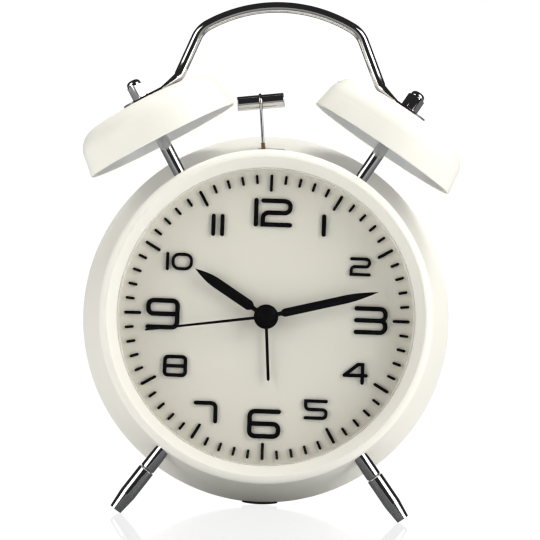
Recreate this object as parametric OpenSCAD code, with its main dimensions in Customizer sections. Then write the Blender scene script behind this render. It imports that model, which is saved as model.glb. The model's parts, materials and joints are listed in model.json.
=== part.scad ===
// Twin bell alarm clock: a flared drum on two legs that leans back on its rear edge.
// Modules are drawn in the clock's own frame: the case axis runs along Y, the crest of the
// bezel lies at y = 0, Z points to twelve o'clock. stand() then leans the clock on the table.

/* [Stance] */
// Backward lean of the whole clock, in degrees
lean = 8; // [7:0.5:11]
// Depth of the plane that holds the posts, legs and hammer, behind the bezel crest
post_y = 28; // [26:0.5:30]

/* [Case] */
// Outer diameter of the case at its rear edge
case_rear_d = 124.6; // [120:0.2:130]
// Outer diameter of the case behind the bezel
case_front_d = 100; // [96:0.5:104]
// Sheet thickness of the case
case_wall = 1.2; // [0.8:0.1:1.6]
// Width of the lip that is turned in at the rear edge
rear_lip = 3.4; // [2.5:0.1:5]
// Thickness of the rubber pad under the rear edge
pad_t = 0.5; // [0.4:0.1:1.5]
// Width of the rubber pad
pad_w = 12; // [8:1:20]
// Length of the rubber pad, forward from the rear edge
pad_l = 1.8; // [1.2:0.1:6]

/* [Bezel and lens] */
// Distance by which the bezel's skirt stands out from the case behind it
bezel_out = 4; // [3:0.1:6]
// Rounding of the bezel's outer edge
bezel_round = 2.6; // [2:0.1:3.4]
// Width of the bezel's lip over the rim of the lens
bezel_lip = 1.7; // [1.2:0.1:3]
// Depth of the bezel's inner lip behind the crest
lip_y = 5; // [3.5:0.1:7]
// Depth of the bezel's skirt behind the crest
skirt_y = 9; // [8.5:0.1:12]
// Thickness of the lens
lens_t = 1.5; // [1:0.1:2]
// Wall of the ring that holds the lens and the dial apart
ring_t = 0.7; // [0.5:0.1:0.9]

/* [Dial] */
// Distance between the lens and the dial
dial_gap = 7.5; // [7:0.1:9]
// Thickness of the dial
dial_t = 1; // [0.6:0.1:1.5]
// Height of the raised numerals and minute marks
numeral_h = 1; // [0.4:0.1:1.4]
// Distance by which the dial's numerals and marks stand to the right of the middle
dial_set = 0.3; // [0:0.05:0.5]
// Distance of the marks' outer ends inside the bezel's opening
mark_in = 2.2; // [1.6:0.1:3]
// Distance of the numerals' middles inside the marks' outer ends
numeral_in = 11.8; // [11.2:0.1:13]
// Length of an hour mark between the centres of its round ends
hour_mark_l = 4.6; // [3:0.1:6]
// Length of a minute mark between the centres of its round ends
minute_mark_l = 2.1; // [1:0.1:3]
// Width of an hour mark
hour_mark_w = 1; // [0.6:0.05:1.4]
// Width of a minute mark
minute_mark_w = 0.88; // [0.5:0.02:1.2]

/* [Hands] */
// Length of the hour hand
hour_l = 28; // [22:0.5:32]
// Width of the hour hand
hour_w = 3.4; // [2:0.1:5]
// Length of the minute hand
minute_l = 37.6; // [33:0.1:41]
// Width of the minute hand
minute_w = 2.75; // [2:0.05:4]
// Length of the second hand
second_l = 39.5; // [33:0.5:43]
// Width of the second hand at its hub
second_w = 1; // [0.6:0.1:1.6]
// Length of the alarm hand
alarm_l = 21; // [16:0.5:26]
// Width of the alarm hand
alarm_w = 1; // [0.6:0.1:1.6]
// Diameter of the second hand's cap
hub_d = 8; // [6:0.2:10]
// Sheet thickness of the hands
hand_t = 0.4; // [0.3:0.05:0.6]

/* [Bells, posts and handle] */
// Angle of each bell's axis from upright, in degrees
bell_angle = 32.4; // [30:0.2:34]
// Forward lean of the bells and the handle, whose posts stand on the flared case, in degrees
top_lean = 2; // [0:0.1:3]
// Angle of the left post's foot from upright, in degrees
left_foot_angle = 32.8; // [31:0.1:34]
// Angle by which the left bell stands more upright than its post's foot, in degrees
left_turn = 3.4; // [0:0.1:4]
// Rim diameter of a bell
bell_d = 53.2; // [48:0.2:55]
// Height of a bell from its rim to its flat top
bell_h = 15; // [13:0.5:18]
// Sheet thickness of a bell
bell_wall = 0.9; // [0.6:0.1:1.4]
// Distance of a bell's rim from the case wall
bell_lift = 12.1; // [11:0.1:14]
// Diameter of a bell post
post_d = 4.2; // [3.4:0.1:5]
// Diameter of the threaded studs of the posts and legs
stud_d = 3; // [2.5:0.1:3.2]
// Width of the cap nuts across their flats
nut_w = 5.3; // [5:0.1:6.5]
// Height of a cap nut
nut_h = 6.5; // [5.5:0.1:8]
// Diameter of the handle's rod
rod_d = 3.6; // [3:0.1:4.4]
// Height of the handle's rod over its tabs on the bells
handle_rise = 33.1; // [30:0.1:38]
// Radius of the handle's top arch
arch_r = 48; // [44:1:56]
// Distance of the handle's bends inside the bell posts
bend_in = 10.2; // [9:0.1:11]
// Distance by which the handle's arch stands to the right of the middle
handle_set = 1.9; // [0:0.1:2.4]
// Thickness of the handle's flattened tabs
tab_t = 1; // [0.8:0.1:1.4]
// Width of the handle's flattened tabs
tab_w = 9; // [8:0.2:12]

/* [Hammer] */
// Height of the hammer's pivot above the case axis
pivot_z = 25; // [24.5:0.1:26]
// Distance of the hammer's head beyond the circle of the bells' rims
head_lift = 4; // [3:0.1:5]
// Angle of the hammer from upright, towards the left bell, in degrees
hammer_rest = 5.2; // [4:0.1:5.6]
// Angle by which the hammer's head is tipped on its wire, in degrees
head_turn = 2; // [0:0.1:3]
// Length of the hammer's head
head_l = 15.6; // [13:0.1:16]
// Diameter of the hammer's head
head_d = 4.8; // [4:0.1:6]
// Diameter of the hammer's wire
wire_d = 1; // [0.8:0.1:1.4]

/* [Legs] */
// Angle of each leg from straight down, in degrees
leg_angle = 36.2; // [33:0.2:40]
// Diameter of a leg's sleeve
sleeve_d = 5; // [4.4:0.1:6]
// Length of a leg's sleeve outside the case
sleeve_l = 7.8; // [6:0.1:12]
// Diameter of a foot
foot_d = 5.5; // [4.8:0.1:6.5]
// Diameter of a foot's tip
tip_d = 4.2; // [3:0.1:4.8]
// Length of a foot's taper
taper_l = 6.2; // [4:0.1:9]

/* [Back] */
// Thickness of the back cover
cover_t = 2.5; // [2.2:0.1:3.5]
// Diameter of the setting knobs
knob_d = 16; // [12:0.5:18]
// Height of the setting knobs
knob_h = 6.5; // [5:0.5:9]
// Distance of each setting knob from the case axis
knob_x = 21; // [20:0.2:22]
// Diameter of a battery cell
cell_d = 14.5; // [13.5:0.1:14.6]
// Length of a battery cell
cell_l = 50.5; // [48:0.1:51]
// Travel of the alarm switch
switch_travel = 6; // [4:0.5:8]

/* [Hidden] */
$fn = 64;

// Clearances
seat = 0.05;    // between pieces that are screwed or glued together
running = 0.06; // round a turning shaft
free = 0.4;     // between pieces that pass each other
push = 0.02;    // round a shaft that a piece is pushed on to

// Colours
cream = "#f4f1e8";
black = "#151518";
chrome = "#c9ccd0";
steel = "#9aa0a6";
brass = "#b8924a";
plastic = "#e9e4d6";

// Depths of the front stack
lens_y = lip_y;
case_y = lens_y + lens_t;
dial_y = case_y + dial_gap;
frame_y = dial_y + dial_t;
frame_t = 2;
works_y = frame_y + frame_t;
second_y = case_y + 1.8;
hand_step = 1.3;
minute_y = second_y + hand_step;
hour_y = minute_y + hand_step;
alarm_y = hour_y + hand_step;

// Depths of the gear planes
alarm_gear_y = works_y + 0.3;
hour_gear_y = alarm_gear_y + 1.6;
motion_gear_y = hour_gear_y + 1.6;
centre_gear_y = motion_gear_y + 2;
fourth_gear_y = centre_gear_y + 2;
second_gear_y = fourth_gear_y + 1.7;
third_gear_y = second_gear_y + 2.2;
strike_gear_y = third_gear_y + 1.8;
plate_y = strike_gear_y + 3;
plate_t = 1.5;
gear_t = 1;
lap = 0.1;
pinion_t = gear_t + 4 * lap;
stud_r = 0.8;
arbor_r = 0.6;
set_r = 1.2;

// Battery well behind the movement, which sets the depth of the case
well_wall = 1.2;
well_gap = 0.5;
well_clear = 0.8;
cell_clear = 0.8;
case_depth = plate_y + plate_t + well_clear + well_wall + cell_clear + cell_d;

// Widths of the bezel
bezel_d = case_front_d + 2 * bezel_out;
crest_d = bezel_d - 2 * bezel_round;
opening_d = case_front_d - 2 * bezel_lip;

// Circles of the minute marks and of the numerals
mark_ring_r = opening_d / 2 - mark_in;
numeral_ring_r = mark_ring_r - numeral_in;

// Radius of the flared case wall at a given depth
function case_r(y) = case_front_d / 2
  + (case_rear_d - case_front_d) / 2 * (y - case_y) / (case_depth - case_y);
function inner_r(y) = case_r(y) - case_wall;
dial_r = inner_r(dial_y) - free;
post_base = case_r(post_y);
foot_joint_r = post_base + sleeve_l;

// Height of a point over the table, less a constant, once the clock leans back
function height(y, z) = z * cos(lean) - y * sin(lean);
floor_h = height(case_depth, -case_rear_d / 2) - pad_t;
// Foot length that sets the tips on the same table as the rear pad
tip_reach = tip_d / 2 * sqrt(1 - pow(cos(leg_angle) * cos(lean), 2));
foot_end_r = (-floor_h - post_y * sin(lean) - tip_reach) / (cos(leg_angle) * cos(lean));

// Places of the bells and of the hammer's head
bell_rim_r = post_base + bell_lift;
hammer_l = bell_rim_r + head_lift - pivot_z;
bell_top_r = bell_rim_r + bell_h;
tab_r = bell_top_r + seat;
nut_r = tab_r + tab_t + seat;

// Origin under the middle of the clock's box
function leaned_y(y, z) = y * cos(lean) + z * sin(lean);
cover_y = case_depth;
flange_r = case_rear_d / 2 - 1.2;
edge_round = 0.6;
front_y = leaned_y(bezel_round, -crest_d / 2) - bezel_round;
back_y = max(leaned_y(cover_y + cover_t, flange_r - edge_round),
             leaned_y(post_y + bell_d / 2, bell_rim_r * cos(bell_angle)));
middle_y = (front_y + back_y) / 2;

// Frames

module stand() translate([0, -middle_y, -floor_h]) rotate([-lean, 0, 0]) children();

// Solid of revolution about the case axis from [radius, depth] points
module turned(points) rotate([-90, 0, 0]) rotate_extrude($fn = 128) polygon(points);

// Flat drawing, seen from the front, that fills the depths from y0 to y1
module layer(y0, y1) translate([0, y1, 0]) rotate([90, 0, 0]) linear_extrude(y1 - y0) children();

// Children drawn along +Z are set radially at an angle from twelve o'clock, positive to the right
module radial(angle) translate([0, post_y, 0]) rotate([0, angle, 0]) children();

// Everything on top of the case leans forward about the feet of the bell posts
post_foot_z = post_base * cos(bell_angle);
module leaning() translate([0, post_y, post_foot_z]) rotate([top_lean, 0, 0])
  translate([0, -post_y, -post_foot_z]) children();
// Angle of a post's foot, and of its axis, on the left (-1) or the right (1)
function foot_angle(side) = side > 0 ? bell_angle : left_foot_angle;
function axis_angle(side) = side > 0 ? bell_angle : left_foot_angle - left_turn;
// Children drawn along +Z are set on a bell post
module on_post(side) leaning() radial(side * foot_angle(side)) translate([0, 0, post_base])
  rotate([0, side * (axis_angle(side) - foot_angle(side)), 0]) translate([0, 0, -post_base]) children();

function arc(cx, cy, r, a0, a1, n = 6) =
  [for (i = [0:n]) let (a = a0 + (a1 - a0) * i / n) [cx + r * cos(a), cy + r * sin(a)]];

// Everything inside, and everything outside, of the case wall
module inside_case(gap = 0)
  turned([[0, case_y], [case_r(case_y) + gap, case_y],
          [case_r(case_depth) + gap, case_depth], [0, case_depth]]);
module outside_lining(gap = 0)
  turned([[inner_r(case_y) - gap, case_y], [case_rear_d, case_y],
          [case_rear_d, case_depth], [inner_r(case_depth) - gap, case_depth]]);

// Case, bezel and lens

lens_r = case_front_d / 2 - 0.2;

module bezel() color(cream)
  turned(concat(
    arc(crest_d / 2, bezel_round, bezel_round, -90, 0, 8),
    [[bezel_d / 2, skirt_y - 0.6], [bezel_d / 2 - 0.6, skirt_y],
     [case_r(skirt_y) + seat, skirt_y], [case_r(case_y) + seat, case_y],
     [case_r(case_y) + seat, lip_y], [opening_d / 2, lip_y], [opening_d / 2, lip_y - 0.6]]));

module lens() color("#dfe8ea", 0.3)
  turned([[0, lens_y + seat], [lens_r - 0.3, lens_y + seat], [lens_r, lens_y + 0.35],
          [lens_r, case_y - seat], [0, case_y - seat]]);

ring_r = inner_r(case_y) - 0.1;
module dial_ring() color(plastic)
  turned([[ring_r - ring_t, case_y], [ring_r, case_y], [ring_r, dial_y], [ring_r - ring_t, dial_y]]);

slot_half = (post_base - pivot_z) * tan(hammer_rest) + wire_d + 1;
slot_y = 3.2;

module case_shell() color(cream) difference() {
  turned([[case_r(case_y), case_y], [case_r(case_depth - 1), case_depth - 1],
          [case_rear_d / 2 - 0.6, case_depth], [case_rear_d / 2 - rear_lip, case_depth],
          [case_rear_d / 2 - rear_lip, case_depth - case_wall],
          [inner_r(case_depth - case_wall), case_depth - case_wall], [inner_r(case_y), case_y]]);
  for (a = [180 - leg_angle, 180 + leg_angle]) radial(a) cylinder(d = stud_d + 2 * seat, h = case_rear_d);
  for (s = [-1, 1]) on_post(s) cylinder(d = stud_d + 2 * seat, h = case_rear_d);
  translate([-slot_half, wire_y - slot_y / 2, 0]) cube([2 * slot_half, slot_y, case_rear_d]);
}

module rear_pad() color("#222222") intersection() {
  difference() {
    inside_case(pad_t + 1);
    inside_case(seat);
  }
  translate([-pad_w / 2, case_depth - pad_l, -case_rear_d]) cube([pad_w, pad_l, case_rear_d]);
  rotate([lean, 0, 0]) translate([-pad_w, 0, floor_h]) cube([2 * pad_w, 2 * case_depth, case_rear_d]);
}

// Dial: numerals as strokes of [x, z, corner radius] points with round ends

function unit(v) = v / norm(v);
function corner(a, b, c, r) =
  let (u = unit([a.x - b.x, a.y - b.y]), v = unit([c.x - b.x, c.y - b.y]),
       half = acos(u * v) / 2, d = r / tan(half), m = [b.x, b.y] + unit(u + v) * r / sin(half),
       p = [b.x, b.y] + u * d - m, q = [b.x, b.y] + v * d - m, n = 5)
  [for (i = [0:n]) let (s = i / n, t = 180 - 2 * half)
    m + (sin((1 - s) * t) * p + sin(s * t) * q) / sin(t)];
function route(p) = [for (i = [0:len(p) - 1])
  each (i == 0 || i == len(p) - 1 || len(p[i]) < 3) ? [[p[i].x, p[i].y]]
    : corner(p[i - 1], p[i], p[i + 1], p[i].z)];
function side(p, i) =
  let (a = i == 0 ? p[1] - p[0] : p[i] - p[i - 1],
       b = i == len(p) - 1 ? p[i] - p[i - 1] : p[i + 1] - p[i],
       n = unit(unit(a) + unit(b)), k = n * unit(a))
  [-n.y, n.x] / k;

// Half circle that ends a stroke, from the side that s points to round to the other side
function cap(p, s) = let (a = atan2(s.y, s.x)) arc(p.x, p.y, norm(s), a, a - 180, 8);

module stroke(points, w) {
  p = route(points);
  last = len(p) - 1;
  left = [for (i = [1:1:last - 1]) p[i] + side(p, i) * w / 2];
  right = [for (i = [last - 1:-1:1]) p[i] - side(p, i) * w / 2];
  polygon(concat(left, cap(p[last], side(p, last) * w / 2), right, cap(p[0], -side(p, 0) * w / 2)));
}

// Open strokes of a digit; the closed box of 0 and 8 is drawn by loop()
function digit(n, w, h, r) =
  let (x = w / 2, y = h / 2, stem = 0.33 * w, bar = -0.1 * h)
  n == 0 ? [] :
  n == 1 ? [[[0, y], [0, -y]]] :
  n == 2 ? [[[-x, y], [x, y, r], [x, 0, r], [-x, 0, r], [-x, -y], [x, -y]]] :
  n == 3 ? [[[-x, y], [x, y, r], [x, 0, r], [-x, 0]], [[0, 0], [x, 0, r], [x, -y, r], [-x, -y]]] :
  n == 4 ? [[[stem, -y], [stem, y], [0.12 * w, y], [-x, bar]], [[-x, bar], [x, bar]]] :
  n == 5 ? [[[x, y], [-x, y], [-x, 0, r], [x, 0, r], [x, -y, r], [-x, -y]]] :
  n == 6 ? [[[x, y], [-x, y, r], [-x, -y, r], [x, -y, r], [x, 0, r], [0, 0]], [[x / 3, 0], [-x, 0]]] :
  n == 7 ? [[[-x, y], [x, y, r], [x, -y]]] :
  n == 8 ? [[[-x, 0], [x, 0]]] :
           [[[-x, -y], [x, -y, r], [x, y, r], [-x, y, r], [-x, 0, r], [0, 0]], [[-x / 3, 0], [x, 0]]];

function rounded(x, y, r) = concat(arc(x - r, y - r, r, 0, 90, 5), arc(r - x, y - r, r, 90, 180, 5),
  arc(r - x, r - y, r, 180, 270, 5), arc(x - r, r - y, r, 270, 360, 5));
module loop(w, h, r, t) difference() {
  polygon(rounded((w + t) / 2, (h + t) / 2, r + t / 2));
  polygon(rounded((w - t) / 2, (h - t) / 2, r - t / 2));
}

// Each numeral: hour, stroke width, shift from its place on the circle, then its digits as
// [digit, x, width, height, corner radius]
numeral_list = [
  [12, 1.45, [-0.1, -0.2], [[1, -4.6, 0, 7.9, 0], [2, 2.1, 8.9, 7.8, 1.8]]],
  [1, 1.4, [0.4, 0.8], [[1, 0, 0, 5.9, 0]]],
  [2, 1.02, [0.2, 0.3], [[2, 0, 5.9, 5.1, 1.2]]],
  [3, 1.46, [-0.4, 0], [[3, 0, 9.5, 7.7, 1.7]]],
  [4, 1.16, [-0.3, -0.3], [[4, 0, 7.1, 5.95, 0]]],
  [5, 1.1, [-0.2, 0.1], [[5, 0, 6.7, 5.5, 1.2]]],
  [6, 1.5, [0.2, -0.5], [[6, 0, 9.4, 8.1, 1.7]]],
  [7, 1.33, [-1.8, -1.9], [[7, 0, 6.5, 5.9, 1.5]]],
  [8, 1.2, [0.3, 0.2], [[8, 0, 6.7, 6, 1.1]]],
  [9, 1.5, [0.3, -0.1], [[9, 0, 9.5, 8.7, 1.7]]],
  [10, 1, [0.55, 0], [[1, -3.9, 0, 5, 0], [0, 0.9, 6, 4.7, 2]]],
  [11, 1.33, [0.1, -0.2], [[1, -1.45, 0, 5.9, 0], [1, 1.45, 0, 5.9, 0]]]
];
function numeral_place(n) = numeral_ring_r * [sin(30 * n[0]), cos(30 * n[0])] + n[2];

module numerals() color(black)
  for (n = numeral_list, d = n[3])
    spot(numeral_place(n) + [d[1] + dial_set, 0]) union() {
      for (path = digit(d[0], d[2], d[3], d[4]))
        layer(dial_y - numeral_h, dial_y) stroke(path, n[1]);
      if (d[0] % 8 == 0) layer(dial_y - numeral_h, dial_y) loop(d[2], d[3], d[4], n[1]);
    }

module minute_marks() color(black) layer(dial_y - numeral_h, dial_y)
  for (i = [0:59])
    let (hour = i % 5 == 0, w = hour ? hour_mark_w : minute_mark_w,
         l = hour ? hour_mark_l : minute_mark_l, r = mark_ring_r)
      translate([dial_set, 0]) rotate(-6 * i) stroke([[0, r - l], [0, r]], w);

// Shafts at the centre, from the inside out
second_r = 0.5;
minute_r = 1.3;
hour_r = 2.1;
alarm_r = 2.9;

module dial() color("#e4e0d2") layer(dial_y, frame_y) difference() {
  circle(dial_r, $fn = 128);
  circle(alarm_r + free);
}

// Works: gear teeth and places

function gear_points(z, m) =
  let (rp = z * m / 2, t = 0.19 * PI * m, add = 0.85 * m, ded = 1.15 * m, k = tan(20))
  [for (i = [0:z - 1], e = [[-ded, -1], [add, -1], [add, 1], [-ded, 1]])
    let (r = rp + e[0], a = 360 * i / z + e[1] * asin((t - e[0] * k) / r)) r * [cos(a), sin(a)]];
// Angle of a gear that meshes with another whose teeth stand at angle a0, phi being the line of centres
function mesh(a0, za, zb, phi) = phi + 180 + 180 / zb - (a0 - phi) * za / zb;
module gear(z, m, turn, bore) rotate(turn) difference() {
  polygon(gear_points(z, m));
  circle(bore);
}
function at(r, a) = r * [cos(a), sin(a)];
module spot(p) translate([p.x, 0, p.y]) children();

set_teeth = 15;
motion_teeth = 45;
motion_pinion_teeth = 12;
hour_teeth = 48;
alarm_teeth = 30;
second_teeth = 50;
second_pinion_teeth = 10;
third_teeth = 60;
third_pinion_teeth = 10;
rotor_teeth = 10;
fourth_teeth = 80;
fourth_pinion_teeth = 10;
centre_teeth = 75;
strike_teeth = 40;
motor_teeth = 10;

motion_x = knob_x / 2;
motion_m = 2 * motion_x / (set_teeth + motion_teeth);
alarm_m = motion_x / alarm_teeth;
going_m = 0.4;
third_angle = 70;
third_p = at(going_m * (second_teeth + third_pinion_teeth) / 2, third_angle);
third_m = 0.35;
rotor_link = third_m * (third_teeth + rotor_teeth) / 2;
rotor_angle = 60;
rotor_p = third_p + at(rotor_link, rotor_angle);
fourth_angle = 250;
fourth_link = going_m * (fourth_teeth + second_pinion_teeth) / 2;
fourth_p = at(fourth_link, fourth_angle);
centre_m = 2 * fourth_link / (centre_teeth + fourth_pinion_teeth);
strike_reach = 10;
strike_p = [0, pivot_z + strike_reach];
motor_p = strike_p + [going_m * (strike_teeth + motor_teeth) / 2, 0];
crank = strike_reach * tan(hammer_rest);
crank_pin_r = 0.75;

// Pillars that carry the works on the back cover
pillar_r = 46;
pillar_d = 7;
pillar_angles = [48, 132, 200, 340];
screw_d = 2.6;
plate_posts = [[24, -20], [-24, -20], [-24, 26.2], [24, 26.2]];
plate_post_r = 1.6;
plate_w = 54;
plate_low = -24;
plate_top = 28;
neck_left = -14;
neck_right = 19;
neck_top = strike_p.y + 9;
pin_r = 1.2;

module movement_frame() color(plastic) {
  layer(frame_y, works_y) difference() {
    circle(dial_r, $fn = 128);
    circle(alarm_r + running);
    translate(fourth_p) circle(arbor_r + running);
    for (x = [-knob_x, knob_x]) translate([x, 0]) circle(set_r + running);
    translate([0, pivot_z]) circle(pin_r + seat);
  }
  for (p = plate_posts) spot(p) layer(works_y, plate_y) circle(plate_post_r);
  spot([-motion_x, 0]) layer(works_y, centre_gear_y - 0.5) circle(stud_r);
  spot([motion_x, 0]) layer(works_y, hour_gear_y + 0.2) circle(stud_r);
  for (a = pillar_angles) spot(at(pillar_r, a)) layer(works_y, cover_y) difference() {
    circle(d = pillar_d);
    circle(d = screw_d - 0.4);
  }
}

module movement_backplate() color(brass) layer(plate_y, plate_y + plate_t) difference() {
  union() {
    translate([-plate_w / 2, plate_low]) square([plate_w, plate_top - plate_low]);
    translate([neck_left, plate_top]) square([neck_right - neck_left, neck_top - plate_top]);
  }
  circle(second_r + running);
  for (p = [third_p, rotor_p, fourth_p, strike_p]) translate(p) circle(arbor_r + running);
  for (x = [-knob_x, knob_x]) translate([x, 0]) circle(set_r + running);
  translate([0, pivot_z]) circle(pin_r + seat);
  translate(motor_p) circle(1.6);
}

// A wheel with a pinion on one arbor
module tube(y0, y1, r, bore) layer(y0, y1) difference() {
  circle(r);
  circle(bore);
}
module toothed(y0, t, z, m, turn, bore) layer(y0, y0 + t) gear(z, m, turn, bore);

minute_bore = second_r + running;
hour_bore = minute_r + running;
alarm_bore = hour_r + running;
motion_turn = mesh(0, set_teeth, motion_teeth, 180);
alarm_turn = mesh(0, alarm_teeth, alarm_teeth, 0);
second_turn = 0;
third_turn = mesh(second_turn, second_teeth, third_pinion_teeth, third_angle);
fourth_turn = mesh(second_turn, second_pinion_teeth, fourth_teeth, fourth_angle);

module alarm_wheel() color(brass) {
  tube(alarm_y - hand_t, works_y + 0.3, alarm_r, alarm_bore);
  toothed(alarm_gear_y, gear_t, alarm_teeth, alarm_m, 0, alarm_bore);
}
module hour_wheel() color(brass) {
  tube(hour_y - hand_t, hour_gear_y, hour_r, hour_bore);
  toothed(hour_gear_y, gear_t, hour_teeth, motion_m,
    mesh(motion_turn, motion_pinion_teeth, hour_teeth, 0), hour_bore);
}
module cannon_pinion() color(brass) {
  tube(minute_y - hand_t, centre_gear_y + gear_t + 0.6, minute_r, minute_bore);
  toothed(motion_gear_y, gear_t + 0.3, set_teeth, motion_m, 0, minute_r - seat);
}
module second_wheel() color(brass) {
  layer(second_y - hand_t, plate_y + plate_t) circle(second_r);
  toothed(second_gear_y, gear_t, second_teeth, going_m, second_turn, second_r - seat);
  toothed(fourth_gear_y - lap, pinion_t, second_pinion_teeth, going_m, second_turn, second_r - seat);
}
module centre_wheel() color(brass)
  toothed(centre_gear_y, gear_t, centre_teeth, centre_m,
    mesh(fourth_turn, fourth_pinion_teeth, centre_teeth, fourth_angle + 180), minute_r + running);
module fourth_wheel() color(brass) spot(fourth_p) {
  layer(frame_y + 0.5, plate_y + plate_t) circle(arbor_r);
  toothed(fourth_gear_y, gear_t, fourth_teeth, going_m, fourth_turn, arbor_r - seat);
  toothed(centre_gear_y - lap, gear_t + 2 * lap, fourth_pinion_teeth, centre_m, fourth_turn,
    arbor_r - seat);
}
module third_wheel() color(brass) spot(third_p) {
  layer(second_gear_y - 0.3, plate_y + plate_t) circle(arbor_r);
  toothed(second_gear_y - lap, pinion_t, third_pinion_teeth, going_m, third_turn, arbor_r - seat);
  toothed(third_gear_y, gear_t, third_teeth, third_m, third_turn, arbor_r - seat);
}
magnet_r = 3;
module rotor() color(steel) spot(rotor_p) {
  layer(third_gear_y - 0.3, plate_y + plate_t) circle(arbor_r);
  toothed(third_gear_y - lap, pinion_t, rotor_teeth, third_m,
    mesh(third_turn, third_teeth, rotor_teeth, rotor_angle), arbor_r - seat);
  layer(third_gear_y + 1.7, plate_y - 0.5) difference() {
    circle(magnet_r);
    circle(arbor_r - seat);
  }
}
coil_p = [24, 16];
coil_l = 16;
coil_d = 6;
module stator() color(steel) layer(plate_y - 1.2, plate_y) difference() {
  union() {
    translate(rotor_p) circle(magnet_r + 2.4);
    translate([rotor_p.x, rotor_p.y - 1.5]) square([coil_p.x - rotor_p.x - 3.2, 3]);
  }
  translate(rotor_p) circle(magnet_r + free);
}
module motor_coil() color("#b5651d") translate([coil_p.x, plate_y - coil_d / 2, coil_p.y - coil_l / 2]) {
  cylinder(d = coil_d - 1, h = coil_l);
  for (z = [0, coil_l - 1]) translate([0, 0, z]) cylinder(d = coil_d, h = 1);
}
module minute_wheel() color(brass) spot([-motion_x, 0]) {
  toothed(motion_gear_y, gear_t, motion_teeth, motion_m, motion_turn, stud_r + running);
  toothed(hour_gear_y - lap, motion_gear_y - hour_gear_y + lap, motion_pinion_teeth, motion_m,
    motion_turn, stud_r + running);
}
module alarm_idler() color(brass) spot([motion_x, 0])
  toothed(alarm_gear_y, gear_t, alarm_teeth, alarm_m, alarm_turn, stud_r + running);

// Setting arbors and knobs
knob_gap = 0.4;
knob_y = cover_y + cover_t + knob_gap;
knob_seat = 4;
rib_r = 0.7;
rib_count = 18;
module arbor(x, y0, t, z, m, turn) color(steel) spot([x, 0]) {
  layer(frame_y + 0.5, knob_y + knob_seat) circle(set_r);
  toothed(y0, t, z, m, turn, set_r - seat);
}
module time_arbor() arbor(-knob_x, motion_gear_y - lap, pinion_t, set_teeth, motion_m,
  mesh(motion_turn, motion_teeth, set_teeth, 180));
module alarm_arbor() arbor(knob_x, alarm_gear_y - lap, pinion_t, alarm_teeth, alarm_m,
  mesh(alarm_turn, alarm_teeth, alarm_teeth, 0));
module knob(x) color(black) spot([x, 0]) difference() {
  union() {
    layer(knob_y, knob_y + knob_h) union() {
      circle(d = knob_d - rib_r - 0.1);
      for (i = [1:rib_count])
        rotate(360 / rib_count * i) translate([knob_d / 2 - rib_r, 0]) circle(rib_r, $fn = 16);
    }
    layer(knob_y + knob_h, knob_y + knob_h + 0.6) circle(d = knob_d - 5);
  }
  layer(knob_y - 1, knob_y + knob_seat) circle(set_r + push);
}
module time_knob() knob(-knob_x);
module alarm_knob() knob(knob_x);

// Hands
function hand_points(l, w, neck_w, neck_r) = concat(
  [[0, -neck_w / 2], [neck_r, -neck_w / 2]],
  arc(neck_r + w / 2, 0, w / 2, 245, 270, 3),
  [for (s = [0:0.25:1]) [l * (0.72 + 0.28 * s), -w / 2 * (1 - pow(s, 1.6))]],
  [for (s = [0.75:-0.25:0]) [l * (0.72 + 0.28 * s), w / 2 * (1 - pow(s, 1.6))]],
  arc(neck_r + w / 2, 0, w / 2, 90, 115, 3),
  [[neck_r, neck_w / 2], [0, neck_w / 2]]);
module hand(y, angle, r, boss_r) color(black) {
  layer(y - hand_t, y) difference() {
    union() {
      rotate(90 - angle) children();
      circle(boss_r);
    }
    circle(r + push);
  }
}
hour_angle = 302.3;
minute_angle = 75.7;
second_angle = 261.9;
alarm_angle = 176;
module alarm_hand() hand(alarm_y, alarm_angle, alarm_r, alarm_r + 1)
  polygon([[0, -alarm_w / 2], [alarm_l - 0.6, -alarm_w / 2], [alarm_l, 0],
           [alarm_l - 0.6, alarm_w / 2], [0, alarm_w / 2]]);
module hour_hand() hand(hour_y, hour_angle, hour_r, hub_d / 2 - 0.4)
  polygon(hand_points(hour_l, hour_w, 1.5, hub_d / 2 + 1.2));
module minute_hand() hand(minute_y, minute_angle, minute_r, hub_d / 2 - 0.4)
  polygon(hand_points(minute_l, minute_w, 1.4, hub_d / 2 + 1));
hub_step = 0.69;
module second_hand() {
  hand(second_y, second_angle, second_r, hub_d / 2)
    polygon([[0, -second_w / 2], [second_l, -second_w / 3], [second_l, second_w / 3], [0, second_w / 2]]);
  color(black) layer(second_y - hand_t - 0.4, second_y - hand_t) circle(d = hub_d * hub_step);
}

// Alarm drive and hammer
lever_y = third_gear_y - 0.7;
lever_t = 1;
motor_d = 15;
motor_l = 15;
motor_shaft_r = 0.75;
board_t = 1.2;
board_w = 19;
board_h = 20;
board_p = [-25, 4];
module circuit_board() color("darkgreen") layer(plate_y + plate_t, plate_y + plate_t + board_t)
  translate(board_p) square([board_w, board_h]);
module alarm_motor() color(steel) spot(motor_p) {
  layer(plate_y + plate_t, plate_y + plate_t + motor_l) circle(d = motor_d);
  layer(strike_gear_y - 2 * lap, plate_y + plate_t) circle(motor_shaft_r);
}
module motor_pinion() color(brass) spot(motor_p)
  toothed(strike_gear_y - lap, pinion_t, motor_teeth, going_m,
    mesh(0, strike_teeth, motor_teeth, 0), motor_shaft_r + push);
module strike_wheel() color(brass) spot(strike_p) {
  layer(strike_gear_y - 0.3, plate_y + plate_t) circle(arbor_r);
  toothed(strike_gear_y, gear_t, strike_teeth, going_m, 0, arbor_r - seat);
  spot([-crank, 0]) layer(lever_y - 0.3, strike_gear_y) circle(crank_pin_r);
}
module hammer_pivot() color(steel) spot([0, pivot_z]) layer(frame_y, plate_y + plate_t) circle(pin_r);

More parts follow.
